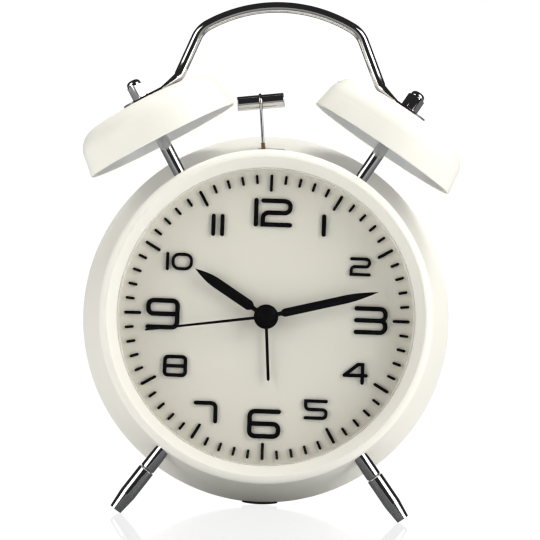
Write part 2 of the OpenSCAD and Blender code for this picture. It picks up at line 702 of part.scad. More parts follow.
module swung() translate([0, 0, pivot_z]) rotate([0, -hammer_rest, 0]) children();
fork_half = 2 * crank + crank_pin_r + free;
fork_wall = 1.4;
fork_play = 2;
wire_foot = 15;
lever_r = 3;
lever_end = 2.4;
module hammer_lever() color(steel) swung() layer(lever_y, lever_y + lever_t) difference() {
  union() {
    circle(lever_r);
    translate([-fork_half - fork_wall, 0]) square([2 * (fork_half + fork_wall), wire_foot + lever_end]);
  }
  circle(pin_r + running);
  translate([-fork_half, strike_reach - fork_play - crank])
    square([2 * fork_half, 2 * (fork_play + crank)]);
}
wire_y = lever_y + lever_t + wire_d / 2 + seat;
module hammer_wire() color(chrome) swung() translate([0, wire_y, 0]) {
  translate([0, 0, wire_foot - 1]) cylinder(d = wire_d, h = hammer_l - head_d / 2 - wire_foot + 1);
  translate([0, 0, hammer_l]) rotate([0, 90 - head_turn, 0])
    rotate_extrude() translate([head_d / 2, 0]) circle(d = wire_d, $fn = 24);
}
tube_l = 2.4;
tube_z = post_base - pivot_z + 0.1;
module hammer_sleeve() color(brass) swung() translate([0, wire_y, tube_z]) difference() {
  cylinder(d = wire_d + 0.7, h = tube_l);
  translate([0, 0, -1]) cylinder(d = wire_d + 2 * push, h = tube_l + 2);
}
module hammer_head() color(chrome) swung() translate([0, wire_y, hammer_l]) rotate([0, 90 - head_turn, 0]) {
  rotate_extrude() difference() {
    polygon([[0, -head_l / 2], [head_d / 2 - 0.3, -head_l / 2], [head_d / 2, -head_l / 2 + 0.3],
             [head_d / 2, head_l / 2 - 0.3], [head_d / 2 - 0.3, head_l / 2], [0, head_l / 2]]);
    translate([head_d / 2, 0]) circle(d = wire_d + 2 * seat, $fn = 24);
  }
}

// Bells, posts, handle and cap nuts
bell_r = bell_d / 2;
bell_corner = 8;
crown = 0.8;
shoulder_angle = 78;
function bell_line(inset) =
  let (r = bell_r - inset, h = bell_h - inset, c = bell_corner - inset, foot_r = r - 0.9)
  concat([[r, 0]], arc(foot_r - c, h - crown - c, c, 0, shoulder_angle, 8),
         [[nut_w, h - 0.1], [nut_w - 1, h]]);
function reversed(p) = [for (i = [len(p) - 1:-1:0]) p[i]];
module bell() color(cream) translate([0, 0, bell_rim_r]) rotate_extrude($fn = 128)
  polygon(concat(bell_line(0), [[stud_d / 2 + seat, bell_h], [stud_d / 2 + seat, bell_h - bell_wall]],
    reversed(bell_line(bell_wall))));
module left_bell() on_post(-1) bell();
module right_bell() on_post(1) bell();

stud_in = 4;
stud_share = 0.6;
module bell_post(side) color(chrome) difference() {
  on_post(side) {
    translate([0, 0, post_base - 2])
      cylinder(d = post_d, h = bell_top_r - bell_wall - seat - post_base + 2);
    cylinder(d = stud_d, h = nut_r + nut_h * stud_share);
  }
  difference() {
    inside_case(seat);
    on_post(side) translate([0, 0, post_base - case_wall - stud_in])
      cylinder(d = stud_d, h = case_rear_d);
  }
}
module left_bell_post() bell_post(-1);
module right_bell_post() bell_post(1);

nut_corner = nut_w / cos(30);
nut_round = 2;
module cap_nuts() color(chrome) for (s = [-1, 1])
  on_post(s) translate([0, 0, nut_r]) difference() {
    intersection() {
      rotate(s < 0 ? 30 : 0) cylinder(d = nut_corner, h = nut_h, $fn = 6);
      rotate_extrude() polygon(concat(
        [[0, 0], [nut_corner / 2 - 0.3, 0], [nut_corner / 2, 0.4],
         [nut_corner / 2, nut_h - nut_round - 0.2]],
        arc(nut_corner / 2 - nut_round, nut_h - nut_round, nut_round, 10, 90, 5), [[0, nut_h]]));
    }
    translate([0, 0, -1]) cylinder(d = stud_d + 2 * push, h = nut_h * stud_share + 1.2);
  }

// Handle: an arch, two corners, two straight sides and two flattened tabs. The arch stands a
// little to the right, so one side is shorter than the other.
corner_r = 9;
side_angle = 22.5;
flat_l = 5.6;
bend_r = 2.5;
heel_lift = 1.1;
heel_flat = 0.2;
tab_out = 6.4;
arch_c = tab_r * cos(bell_angle) + handle_rise - arch_r;
side_n = [cos(side_angle), sin(side_angle)];
corner_k = arch_r - corner_r;
// One half of the handle's line, from the middle of its arch to the end of its tab, as
// [x, z, flatness, share of the full width]; x is counted outwards, and so is the arch's set.
// The corner's circle is tangent inside to the arch and to the side's line. The rod keeps its
// thickness down to a heel just over the bell and then tapers into the tab.
function half_line(set, side) =
  let (a = axis_angle(side),
       axis = [sin(a), cos(a)],
       tab_line = [cos(a), -sin(a)],
       seat_p = post_base * [sin(foot_angle(side)), cos(foot_angle(side))]
         + (tab_r + tab_t / 2 - post_base) * axis,
       tab_end = seat_p + tab_out * tab_line,
       bend_x = tab_r * sin(bell_angle) - bend_in + set,
       root_p = seat_p - tab_line * (seat_p.x - bend_x) / cos(a),
       flat_p = root_p + tab_line * flat_l,
       up = [-side_n.y, side_n.x],
       bend_p = root_p + up * heel_lift / (up * axis),
       reach = bend_p * side_n - corner_r - set * side_n.x - arch_c * side_n.y,
       turn = side_angle + acos(reach / corner_k),
       corner_c = [set, arch_c] + at(corner_k, turn),
       side_top = corner_c + corner_r * side_n,
       heel = corner(side_top, bend_p, flat_p, bend_r))
  concat(
    [for (p = arc(set, arch_c, arch_r, 90, turn, 10)) [p.x, p.y, 0, 1]],
    [for (p = arc(corner_c.x, corner_c.y, corner_r, turn, side_angle, 6)) [p.x, p.y, 0, 1]],
    [for (i = [0:len(heel) - 1]) [heel[i].x, heel[i].y, heel_flat * i / (len(heel) - 1), 1]],
    [[flat_p.x, flat_p.y, 1, 1]],
    [for (a = [0:15:90]) let (p = tab_end - tab_line * tab_w / 2 * (1 - sin(a)))
      [p.x, p.y, 1, max(cos(a), 0.05)]]);
function flat_place(p) = [p.x, p.y];
// Points closer than a fiftieth of a millimetre to the one before are left out
function spaced(line) = [for (i = [0:len(line) - 1])
  if (i == 0 || norm(flat_place(line[i]) - flat_place(line[i - 1])) > 0.02) line[i]];
left_line = spaced(half_line(-handle_set, -1));
right_line = spaced(half_line(handle_set, 1));
handle_line = concat(
  [for (i = [len(left_line) - 1:-1:1]) let (p = left_line[i]) [-p.x, p.y, p[2], p[3]]], right_line);

// Rod section that flattens into a tab: a circle that becomes a rounded oblong
rod_sides = 24;
function power(v, e) = sign(v) * pow(abs(v), e);
function mix(a, b, s) = a + (b - a) * s;
function section(flat, share) =
  let (w = mix(rod_d, tab_w * share, flat), t = mix(rod_d, tab_t, flat), e = mix(1, 0.35, flat))
  [for (i = [0:rod_sides - 1]) let (a = 360 * i / rod_sides)
    [w / 2 * power(cos(a), mix(1, 0.6, flat)), t / 2 * power(sin(a), e)]];
function heading(i) =
  let (p = handle_line, a = p[max(i - 1, 0)], b = p[min(i + 1, len(p) - 1)]) unit([b.x - a.x, b.y - a.y]);
function ring(i) =
  let (p = handle_line[i], d = heading(i))
  [for (q = section(p[2], p[3])) [p.x - d.y * q.y, post_y + q.x, p.y + d.x * q.y]];

module handle() color(chrome) difference() {
  last = len(handle_line) - 1;
  leaning() polyhedron(
    [for (i = [0:last]) each ring(i)],
    concat(
      [[for (j = [0:rod_sides - 1]) j]],
      [for (i = [0:last - 1], j = [0:rod_sides - 1])
        let (a = i * rod_sides, k = (j + 1) % rod_sides) each
          [[a + j, a + rod_sides + j, a + k], [a + k, a + rod_sides + j, a + rod_sides + k]]],
      [[for (j = [rod_sides - 1:-1:0]) last * rod_sides + j]]));
  for (s = [-1, 1])
    on_post(s) translate([0, 0, bell_rim_r]) cylinder(d = stud_d + 2 * seat, h = 2 * bell_h);
}

// Legs
sleeve_bore = stud_d + 2 * seat;
joint_depth = 4;
module leg_sleeve(angle) color(chrome) difference() {
  radial(angle) {
    rotate_extrude() polygon([[0, post_base - 2], [sleeve_d / 2, post_base - 2],
      [sleeve_d / 2, foot_joint_r - 0.6], [sleeve_d / 2 - 0.5, foot_joint_r], [0, foot_joint_r]]);
    cylinder(d = stud_d, h = post_base);
  }
  difference() {
    inside_case(seat);
    radial(angle) translate([0, 0, post_base - case_wall - stud_in])
      cylinder(d = stud_d, h = case_rear_d);
  }
  radial(angle) translate([0, 0, foot_joint_r - joint_depth])
    cylinder(d = sleeve_bore, h = 2 * joint_depth);
}
module foot(angle) color(chrome) radial(angle) {
  translate([0, 0, foot_joint_r - joint_depth + free]) cylinder(d = stud_d, h = joint_depth + 2);
  rotate_extrude() polygon([[0, foot_joint_r + seat], [foot_d / 2 - 0.6, foot_joint_r + seat],
    [foot_d / 2, foot_joint_r + 0.7], [foot_d / 2, foot_end_r - taper_l],
    [tip_d / 2, foot_end_r], [0, foot_end_r]]);
}
module left_leg_sleeve() leg_sleeve(180 + leg_angle);
module right_leg_sleeve() leg_sleeve(180 - leg_angle);
module left_foot() foot(180 + leg_angle);
module right_foot() foot(180 - leg_angle);

module inner_nut() translate([0, 0, inner_r(post_y) - 3]) difference() {
  cylinder(d = nut_corner, h = 4, $fn = 6);
  translate([0, 0, -1]) cylinder(d = stud_d + 2 * push, h = 8);
}
module inner_nuts() color(steel) {
  for (s = [-1, 1]) difference() {
    on_post(s) inner_nut();
    outside_lining(seat);
  }
  for (s = [-1, 1]) difference() {
    radial(180 + s * leg_angle) inner_nut();
    outside_lining(seat);
  }
}

// Back cover, battery compartment and switch
spigot_r = case_rear_d / 2 - rear_lip - 0.2;
spigot_t = 1.6;
well_l = cell_l + 3.5;
well_h = 2 * cell_d + 3 * well_gap;
well_top = -knob_d / 2 - 5.5;
well_floor = cover_y - cell_d - cell_clear;
door_t = 1.8;
door_w = well_l + 6;
door_top = well_top + 2;
door_bottom = well_top - well_h - 1;
door_gap = 0.3;
grip_w = 14;
hinge_r = 1;
hinge_y = cover_y + cover_t + 0.3;
hinge_z = door_bottom - hinge_r;
hinge_l = 36;
switch_z = 22;
switch_w = 6;
switch_h = 4.4;
switch_gap = 0.3;
screw_head_d = 5;
head_sink = 1.2;
function box2(x, z0, z1) = [[-x, z0], [x, z0], [x, z1], [-x, z1]];

module back_cover() color(plastic) difference() {
  union() {
    turned([[0, cover_y + seat], [flange_r, cover_y + seat], [flange_r, cover_y + cover_t - edge_round],
            [flange_r - edge_round, cover_y + cover_t], [0, cover_y + cover_t]]);
    turned([[spigot_r - spigot_t, cover_y - 4], [spigot_r, cover_y - 4],
            [spigot_r, cover_y + 1], [spigot_r - spigot_t, cover_y + 1]]);
    layer(well_floor - well_wall, cover_y + 1)
      polygon(box2(well_l / 2 + well_wall, well_top - well_h - well_wall, well_top + well_wall));
  }
  layer(well_floor, cover_y + 1) polygon(box2(well_l / 2, well_top - well_h, well_top));
  layer(cover_y - 1, cover_y + cover_t - door_t) polygon(box2(well_l / 2, well_top - well_h, well_top));
  layer(cover_y + cover_t - door_t - 0.1, cover_y + cover_t + 1)
    polygon(box2(door_w / 2 + door_gap, door_bottom - door_gap, door_top + door_gap));
  translate([-hinge_l / 2 - free, hinge_y, hinge_z]) rotate([0, 90, 0])
    cylinder(r = hinge_r + 0.25, h = hinge_l + 2 * free);
  for (x = [-knob_x, knob_x]) spot([x, 0]) layer(cover_y - 1, cover_y + cover_t + 1) circle(set_r + free);
  for (a = pillar_angles) spot(at(pillar_r, a)) {
    layer(cover_y - 1, cover_y + cover_t + 1) circle(d = screw_d + 0.3);
    layer(cover_y + cover_t - head_sink, cover_y + cover_t + 1) circle(d = screw_head_d + free);
  }
  spot([0, switch_z]) layer(cover_y - 1, cover_y + cover_t + 1)
    square([switch_w + switch_travel + 2 * switch_gap, switch_h + 2 * switch_gap], center = true);
}
module cover_screws() color(steel) for (a = pillar_angles) spot(at(pillar_r, a)) difference() {
  union() {
    layer(cover_y + cover_t - head_sink + seat, cover_y + cover_t + 0.3) circle(d = screw_head_d);
    layer(cover_y - 8, cover_y + cover_t - 1) circle(d = screw_d - 0.45);
  }
  for (r = [0, 90]) layer(cover_y + cover_t - 0.6, cover_y + cover_t + 1)
    rotate(r) square([2.8, 0.6], center = true);
}
module alarm_switch() color(black) spot([-switch_travel / 2, switch_z]) {
  layer(cover_y - 1.2, cover_y - 0.2) square([switch_w + 5, switch_h + 4], center = true);
  layer(cover_y - 0.3, cover_y + cover_t + 2) square([switch_w, switch_h], center = true);
  for (x = [-1.5, 0, 1.5]) layer(cover_y + cover_t + 1.9, cover_y + cover_t + 2.4)
    translate([x, 0]) square([0.6, switch_h], center = true);
}
module battery_door() color(plastic) difference() {
  union() {
    layer(cover_y + cover_t - door_t + seat, cover_y + cover_t)
      polygon(box2(door_w / 2, door_bottom, door_top));
    translate([-hinge_l / 2, hinge_y, hinge_z]) rotate([0, 90, 0]) cylinder(r = hinge_r, h = hinge_l);
    translate([-hinge_l / 2, hinge_y - 0.9, hinge_z]) cube([hinge_l, 0.6, hinge_r + 0.5]);
  }
  for (i = [0:2]) spot([0, door_top - 3 - 1.6 * i]) layer(cover_y + cover_t - 0.6, cover_y + cover_t + 1)
    square([grip_w, 0.7], center = true);
}
cell_cap_d = 5.5;
contact_w = 10;
contact_d = 5;
module batteries() for (i = [0, 1]) {
  z = well_top - well_gap - cell_d / 2 - i * (cell_d + well_gap);
  translate([0, well_floor + 0.3 + cell_d / 2, z]) rotate([0, 90 - 180 * i, 0]) color("#3c4650") {
    translate([0, 0, -cell_l / 2]) cylinder(d = cell_d, h = cell_l - 1);
    translate([0, 0, cell_l / 2 - 1.2]) cylinder(d = cell_cap_d, h = 1.2);
  }
}
module battery_contacts() color(steel) for (i = [0, 1], s = [-1, 1]) {
  z = well_top - well_gap - cell_d / 2 - i * (cell_d + well_gap);
  translate([s * (well_l / 2 - 0.25), well_floor + 0.3 + cell_d / 2, z]) {
    cube([0.4, contact_w, contact_w], center = true);
    rotate([0, -90 * s, 0]) translate([0, 0, 0.1])
      cylinder(d = contact_d, h = (well_l - cell_l) / 2 - 0.45);
  }
}

stand() bezel();
stand() lens();
stand() dial_ring();
stand() case_shell();
stand() rear_pad();
stand() back_cover();
stand() cover_screws();
stand() dial();
stand() numerals();
stand() minute_marks();
stand() movement_frame();
stand() movement_backplate();
stand() alarm_hand();
stand() alarm_wheel();
stand() hour_hand();
stand() hour_wheel();
stand() minute_hand();
stand() cannon_pinion();
stand() second_hand();
stand() second_wheel();
stand() centre_wheel();
stand() fourth_wheel();
stand() third_wheel();
stand() rotor();
stand() stator();
stand() motor_coil();
stand() minute_wheel();
stand() alarm_idler();
stand() time_knob();
stand() time_arbor();
stand() alarm_knob();
stand() alarm_arbor();
stand() circuit_board();
stand() alarm_motor();
stand() motor_pinion();
stand() strike_wheel();
stand() hammer_pivot();
stand() hammer_lever();
stand() hammer_wire();
stand() hammer_sleeve();
stand() hammer_head();
stand() left_bell();
stand() right_bell();
stand() left_bell_post();
stand() right_bell_post();
stand() cap_nuts();
stand() handle();
stand() left_leg_sleeve();
stand() right_leg_sleeve();
stand() left_foot();
stand() right_foot();
stand() inner_nuts();
stand() alarm_switch();
stand() battery_door();
stand() batteries();
stand() battery_contacts();
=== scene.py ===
# Twin bell alarm clock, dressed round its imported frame.
import json
import math

import bmesh
import bpy
from mathutils import Matrix, Vector


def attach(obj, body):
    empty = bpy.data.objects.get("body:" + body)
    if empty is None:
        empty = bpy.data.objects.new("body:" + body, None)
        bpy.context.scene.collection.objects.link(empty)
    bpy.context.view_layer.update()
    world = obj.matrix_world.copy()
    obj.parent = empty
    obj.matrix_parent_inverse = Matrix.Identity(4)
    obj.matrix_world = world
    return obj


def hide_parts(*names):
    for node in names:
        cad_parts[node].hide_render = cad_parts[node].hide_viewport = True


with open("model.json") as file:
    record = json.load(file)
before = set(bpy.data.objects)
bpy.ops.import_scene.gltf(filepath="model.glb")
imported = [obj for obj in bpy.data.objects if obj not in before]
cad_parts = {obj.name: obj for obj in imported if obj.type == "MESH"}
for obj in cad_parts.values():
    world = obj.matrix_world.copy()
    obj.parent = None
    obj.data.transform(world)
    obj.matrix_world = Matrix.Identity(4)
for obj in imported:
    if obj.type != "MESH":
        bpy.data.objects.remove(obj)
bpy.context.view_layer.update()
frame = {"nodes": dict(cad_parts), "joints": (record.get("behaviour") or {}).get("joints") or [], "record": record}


# Stance. The clock leans back on two feet and a rear pad. Its pieces are drawn in the clock's own
# frame, in millimetres: x to the right, y along the case axis from the bezel's crest to the rear,
# z to twelve o'clock. to_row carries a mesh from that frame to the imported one.
POST_DEPTH = 28

hub_joint = next(joint for joint in frame["joints"] if joint["name"] == "second_hand_turn")
right = Vector((1, 0, 0))
rear = Vector(hub_joint["axis"]).normalized()
upward = right.cross(rear)
leaned = Matrix((right, rear, upward)).transposed().to_4x4()
crest_middle = Vector(hub_joint["pos_m"]) - rear * POST_DEPTH / 1000
to_row = Matrix.Translation(crest_middle) @ leaned @ Matrix.Scale(0.001, 4)


# Camera. It stands about a metre off, square to the leaning dial and a little below its middle,
# rolled by two degrees as in the photograph, with a long lens.
CAMERA_PLACE = (0, -920, -18)
CAMERA_AIM = (0.75, 0, 14.9)
CAMERA_ROLL = math.radians(2)
FRAME_WIDTH = 173.6
SENSOR_WIDTH = 36

camera = bpy.data.objects.new("camera", bpy.data.cameras.new("camera"))
bpy.context.scene.collection.objects.link(camera)
camera_place = to_row @ Vector(CAMERA_PLACE)
sight = (to_row @ Vector(CAMERA_AIM) - camera_place).normalized()
level = Matrix((right, upward, -rear)).transposed().to_quaternion()
rolled = Matrix.Rotation(CAMERA_ROLL, 3, "Z").to_quaternion()
camera.location = camera_place
camera.rotation_mode = "QUATERNION"
camera.rotation_quaternion = rear.rotation_difference(sight) @ level @ rolled
camera.data.sensor_width = SENSOR_WIDTH
camera.data.lens = SENSOR_WIDTH * -CAMERA_PLACE[1] / FRAME_WIDTH
camera.data.clip_end = 60
bpy.context.scene.camera = camera
bpy.context.scene.view_settings.view_transform = "Standard"
bpy.context.scene.cycles.filter_width = 1.3


# Studio. A tall softbox at each side, the right one stronger, and one above and behind the clock that
# the chrome doesn't show. The room gives a pale fill from behind, but mirrors see it dark except for
# a white backdrop, and the camera sees white.
LIT_POINT = Vector((0, 0, 0.09))


def softbox(name, place, width, height, power, mirrored=True):
    light = bpy.data.lights.new(name, "AREA")
    light.shape = "RECTANGLE"
    light.size = width
    light.size_y = height
    light.energy = power
    lamp = bpy.data.objects.new(name, light)
    lamp.visible_glossy = mirrored
    lamp.location = place
    lamp.rotation_mode = "QUATERNION"
    lamp.rotation_quaternion = (LIT_POINT - Vector(place)).to_track_quat("-Z", "Y")
    bpy.context.scene.collection.objects.link(lamp)


softbox("left_box", (-0.76, -0.48, 0.30), 0.6, 1.1, 5.6)
softbox("right_box", (0.78, -0.48, 0.38), 0.65, 1.1, 8.4)
softbox("top_box", (0.18, 0.15, 0.96), 0.7, 0.35, 7.3, False)


class Value:
    """One socket of a node tree. Arithmetic on it adds Math nodes."""

    def __init__(self, graph, socket):
        self.graph = graph
        self.socket = socket

    def math(self, operation, first, second):
        return self.graph.add("ShaderNodeMath", {"operation": operation}, {0: first, 1: second})

    def __add__(self, other):
        return self.math("ADD", self, other)

    __radd__ = __add__

    def __sub__(self, other):
        return self.math("SUBTRACT", self, other)

    def __rsub__(self, other):
        return self.math("SUBTRACT", other, self)

    def __mul__(self, other):
        return self.math("MULTIPLY", self, other)

    __rmul__ = __mul__

    def __truediv__(self, other):
        return self.math("DIVIDE", self, other)

    def __rtruediv__(self, other):
        return self.math("DIVIDE", other, self)

    def __mod__(self, other):
        return self.math("MODULO", self, other)

    def __rmod__(self, other):
        return self.math("MODULO", other, self)

    def __pow__(self, other):
        return self.math("POWER", self, other)

    def __rpow__(self, other):
        return self.math("POWER", other, self)

    def __lt__(self, other):
        return self.math("LESS_THAN", self, other)

    def __gt__(self, other):
        return self.math("GREATER_THAN", self, other)


class Graph:
    """A node tree that is written as expressions."""

    def __init__(self, tree):
        self.tree = tree

    def add(self, kind, settings=None, sockets=None, output=0):
        node = self.tree.nodes.new(kind)
        for label, setting in (settings or {}).items():
            setattr(node, label, setting)
        for label, given in (sockets or {}).items():
            if isinstance(given, Value):
                self.tree.links.new(given.socket, node.inputs[label])
            else:
                node.inputs[label].default_value = given
        return Value(self, node.outputs[output]) if node.outputs else node


room = bpy.data.worlds.new("room")
bpy.context.scene.world = room
room.use_nodes = True
walls = Graph(room.node_tree)
outlook = walls.add("ShaderNodeTexCoord", output="Generated")
depth = walls.add("ShaderNodeSeparateXYZ", None, {0: outlook}, "Y")
pale = walls.add("ShaderNodeMapRange", {"interpolation_type": "SMOOTHSTEP"},
                 {"Value": depth, "From Min": -0.1, "From Max": 0.5, "To Min": 0.14, "To Max": 0.95})
backdrop = walls.add("ShaderNodeMapRange", {"interpolation_type": "SMOOTHSTEP"},
                     {"Value": depth, "From Min": 0.93, "From Max": 0.975, "To Min": 0.03, "To Max": 1.0})
seen = walls.add("ShaderNodeLightPath", output="Is Camera Ray")
glossed = walls.add("ShaderNodeLightPath", output="Is Glossy Ray")
fill = pale * (1 - glossed) + backdrop * glossed
shade = fill * (1 - seen) + seen
room_light = room.node_tree.nodes["Background"]
room_light.inputs["Color"].default_value = (1, 1, 1, 1)
room.node_tree.links.new(shade.socket, room_light.inputs["Strength"])


# Floor. A white table top that runs back past the picture's upper edge. To the camera it is as white
# as the room, with a faint mirror of the feet. To the clock it glows a dim grey, with a painted shadow
# that makes it darkest under the case, and it glows paler to the sides and the front; beside the clock the chrome
# sees it dark.
FLOOR_HALF = 20.0
FLOOR_MIRROR = 0.25
FLOOR_GREY = (0.54, 0.56, 0.575, 1)
FLOOR_IN_CHROME = (0.09, 0.09, 0.095, 1)
# Painted shadow: the floor's dim glow under the case.
GLOW_PAINTED_SHADOW = (0.06, 0.06, 0.058, 1)
GLOW_BESIDE = (0.47, 0.45, 0.443, 1)
GLOW_FORWARD = (0.36, 0.35, 0.335, 1)
GLOW_IN_CHROME = (0.075, 0.078, 0.08, 1)


class Finish(Graph):
    """A paint, plating or plastic whose maps follow the piece's own place, in metres."""

    def __init__(self, name, constants):
        self.material = bpy.data.materials.new(name)
        self.material.use_nodes = True
        super().__init__(self.material.node_tree)
        self.shader = self.tree.nodes["Principled BSDF"]
        for label, given in constants.items():
            self.shader.inputs[label].default_value = given
        self.place = self.add("ShaderNodeTexCoord", output="Object")

    def feed(self, label, value):
        self.tree.links.new(value.socket, self.shader.inputs[label])

    def noise(self, scale, detail=2, vector=None):
        return self.add("ShaderNodeTexNoise", None,
                        {"Vector": vector or self.place, "Scale": scale, "Detail": detail})

    def colours(self, factor, first, second):
        return self.add("ShaderNodeMix", {"data_type": "RGBA"},
                        {0: factor, 6: first, 7: second}, 2)

    def eased(self, value, low, high):
        return self.add("ShaderNodeMapRange", {"interpolation_type": "SMOOTHSTEP"},
                        {"Value": value, "From Min": low, "From Max": high})

    def axis(self, vector, letter):
        return self.add("ShaderNodeSeparateXYZ", None, {"Vector": vector}, letter)

    def bump(self, height, distance, strength=1.0):
        normal = self.add("ShaderNodeBump", None,
                          {"Height": height, "Distance": distance, "Strength": strength})
        self.feed("Normal", normal)


floor_mesh = bpy.data.meshes.new("floor")
floor_mesh.from_pydata([(-FLOOR_HALF, -FLOOR_HALF, 0), (FLOOR_HALF, -FLOOR_HALF, 0),
                        (FLOOR_HALF, FLOOR_HALF, 0), (-FLOOR_HALF, FLOOR_HALF, 0)], [], [(0, 1, 2, 3)])
floor = bpy.data.objects.new("floor", floor_mesh)
bpy.context.scene.collection.objects.link(floor)
table_top = Finish("table_top", {"Roughness": 0.5, "Specular IOR Level": 0.1, "Emission Strength": 1.0})
glossed = table_top.add("ShaderNodeLightPath", output="Is Glossy Ray")
table_top.feed("Base Color", table_top.colours(glossed, FLOOR_GREY, FLOOR_IN_CHROME))
forward = table_top.eased(0 - table_top.axis(table_top.place, "Y"), 0.12, 0.6)
sideways = table_top.add("ShaderNodeMath", {"operation": "ABSOLUTE"},
                         {0: table_top.axis(table_top.place, "X")})
# Painted shadow: the floor's glow is dimmed under the case and rises beside it.
beside = table_top.eased(sideways, 0.015, 0.065)
round_clock = table_top.colours(beside, GLOW_PAINTED_SHADOW, GLOW_BESIDE)
near = table_top.colours(glossed, round_clock, GLOW_IN_CHROME)
table_top.feed("Emission Color", table_top.colours(forward, near, GLOW_FORWARD))
whiteness = table_top.add("ShaderNodeEmission", None, {"Strength": 1.13})
streaks = table_top.add("ShaderNodeBsdfGlossy", None, {"Roughness": 0.09})
shown = table_top.add("ShaderNodeMixShader", None, {0: FLOOR_MIRROR, 1: whiteness, 2: streaks})
on_view = table_top.add("ShaderNodeLightPath", output="Is Camera Ray")
either = table_top.add("ShaderNodeMixShader", None, {0: on_view, 2: shown})
table_top.tree.links.new(table_top.shader.outputs[0], either.socket.node.inputs[1])
table_top.tree.links.new(either.socket, table_top.tree.nodes["Material Output"].inputs["Surface"])
floor_mesh.materials.append(table_top.material)


# Case. A drum of sheet steel, spun to a flare and turned in at the rear, then sprayed cream. A slot
# at the top lets the hammer's wire swing; the studs of the posts and legs pass through its wall.
CASE_FRONT_R = 50
CASE_REAR_R = 62.3
CASE_FRONT = 6.5
CASE_REAR = 52
CASE_WALL = 1.2
REAR_LIP = 3.4
SLOT_HALF = 4.6
SLOT_LENGTH = 2.4
SLOT_ROUND = 1.1
PUNCH_HEIGHTS = (40, 70)
REAR_ROUND = 0.8
REAR_STEP = 0.6
WIRE_DEPTH = 29.25
CREAM_DEEP = (0.80, 0.772, 0.690, 1)
CREAM_LIGHT = (0.83, 0.806, 0.728, 1)
# Painted shade: the darker, cooler grey that stands for the shade inside the bells.
BELL_HOLLOW_SHADE = (0.74, 0.755, 0.765, 1)
UV_LENGTH = 100

body_of = {}
for body, members in frame["record"]["behaviour"]["bodies"].items():
    body_of.update(dict.fromkeys(members, body))
slot_of = {part["node"]: part["material_slot"] for part in frame["record"]["subparts"]}
case_axis = Matrix.Rotation(math.radians(-90), 4, "X")


def case_r(depth):
    share = (depth - CASE_FRONT) / (CASE_REAR - CASE_FRONT)
    return CASE_FRONT_R + (CASE_REAR_R - CASE_FRONT_R) * share


def eased_line(points, steps=6):
    """A closed outline whose corners are rounded, from (x, y, rounding) points."""
    line = []
    for index, (x, y, rounding) in enumerate(points):
        here = Vector((x, y))
        if not rounding:
            line.append(here)
            continue
        before = (Vector(points[index - 1][:2]) - here).normalized()
        after = (Vector(points[(index + 1) % len(points)][:2]) - here).normalized()
        half = before.angle(after) / 2
        turn = math.pi - 2 * half
        middle = here + (before + after).normalized() * rounding / math.sin(half)
        start = here + before * rounding / math.tan(half) - middle
        end = here + after * rounding / math.tan(half) - middle
        for step in range(steps + 1):
            share = step / steps
            swept = start * math.sin((1 - share) * turn) + end * math.sin(share * turn)
            line.append(middle + swept / math.sin(turn))
    return line


def skin(rows, closed):
    """Faces between rows of points, with u round each row and v along the piece by UV_LENGTH."""
    mesh = bmesh.new()
    around = mesh.loops.layers.uv.new("around")
    grid = [[mesh.verts.new(point) for point in row] for row in rows]
    count = len(grid)
    size = len(grid[0])
    along = [0.0]
    for index in range(count):
        reach = Vector(rows[(index + 1) % count][0]) - Vector(rows[index][0])
        along.append(along[-1] + reach.length)
    for index in range(count if closed else count - 1):
        near = grid[index]
        far = grid[(index + 1) % count]
        for step in range(size):
            following = (step + 1) % size
            face = mesh.faces.new((near[step], near[following], far[following], far[step]))
            ends = ((step, index), (step + 1, index), (step + 1, index + 1), (step, index + 1))
            for loop, (turn, row) in zip(face.loops, ends):
                loop[around].uv = (turn / size, along[row] / UV_LENGTH)
    if not closed:
        mesh.faces.new(grid[0])
        mesh.faces.new(grid[-1])
    return mesh


def lathe(line, place, steps=96):
    """A piece turned about its own z from (radius, height) points, then set in its place."""
    rows = []
    for radius, height in line:
        angles = [2 * math.pi * step / steps for step in range(steps)]
        rows.append([(radius * math.cos(angle), radius * math.sin(angle), height) for angle in angles])
    mesh = skin(rows, True)
    mesh.transform(place)
    return mesh


def fit(name, mesh, node, finish, crease=35):
    """Sets a mesh of the clock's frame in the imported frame, where it stands for a node."""
    bmesh.ops.remove_doubles(mesh, verts=mesh.verts, dist=0.0002)
    bmesh.ops.dissolve_degenerate(mesh, edges=mesh.edges, dist=0.0002)
    bmesh.ops.recalc_face_normals(mesh, faces=mesh.faces)
    mesh.transform(to_row)
    data = bpy.data.meshes.new(name)
    mesh.to_mesh(data)
    mesh.free()
    data.shade_smooth()
    data.set_sharp_from_angle(angle=math.radians(crease))
    data.materials.clear()
    data.materials.append(finish.material)
    piece = bpy.data.objects.new(name, data)
    bpy.context.scene.collection.objects.link(piece)
    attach(piece, body_of[node])
    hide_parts(node)


def evaluated(mesh, modifier_type, settings):
    """The mesh after one modifier, as a plain mesh again."""
    data = bpy.data.meshes.new("blank")
    mesh.to_mesh(data)
    mesh.free()
    blank = bpy.data.objects.new("blank", data)
    bpy.context.scene.collection.objects.link(blank)
    modifier = blank.modifiers.new("made", modifier_type)
    for label, given in settings.items():
        if isinstance(given, dict):
            for identifier, size in given.items():
                modifier[identifier] = size
        else:
            setattr(modifier, label, given)
    depsgraph = bpy.context.evaluated_depsgraph_get()
    made = bpy.data.meshes.new_from_object(blank.evaluated_get(depsgraph))
    bpy.data.objects.remove(blank)
    result = bmesh.new()
    result.from_mesh(made)
    bpy.data.meshes.remove(made)
    return result


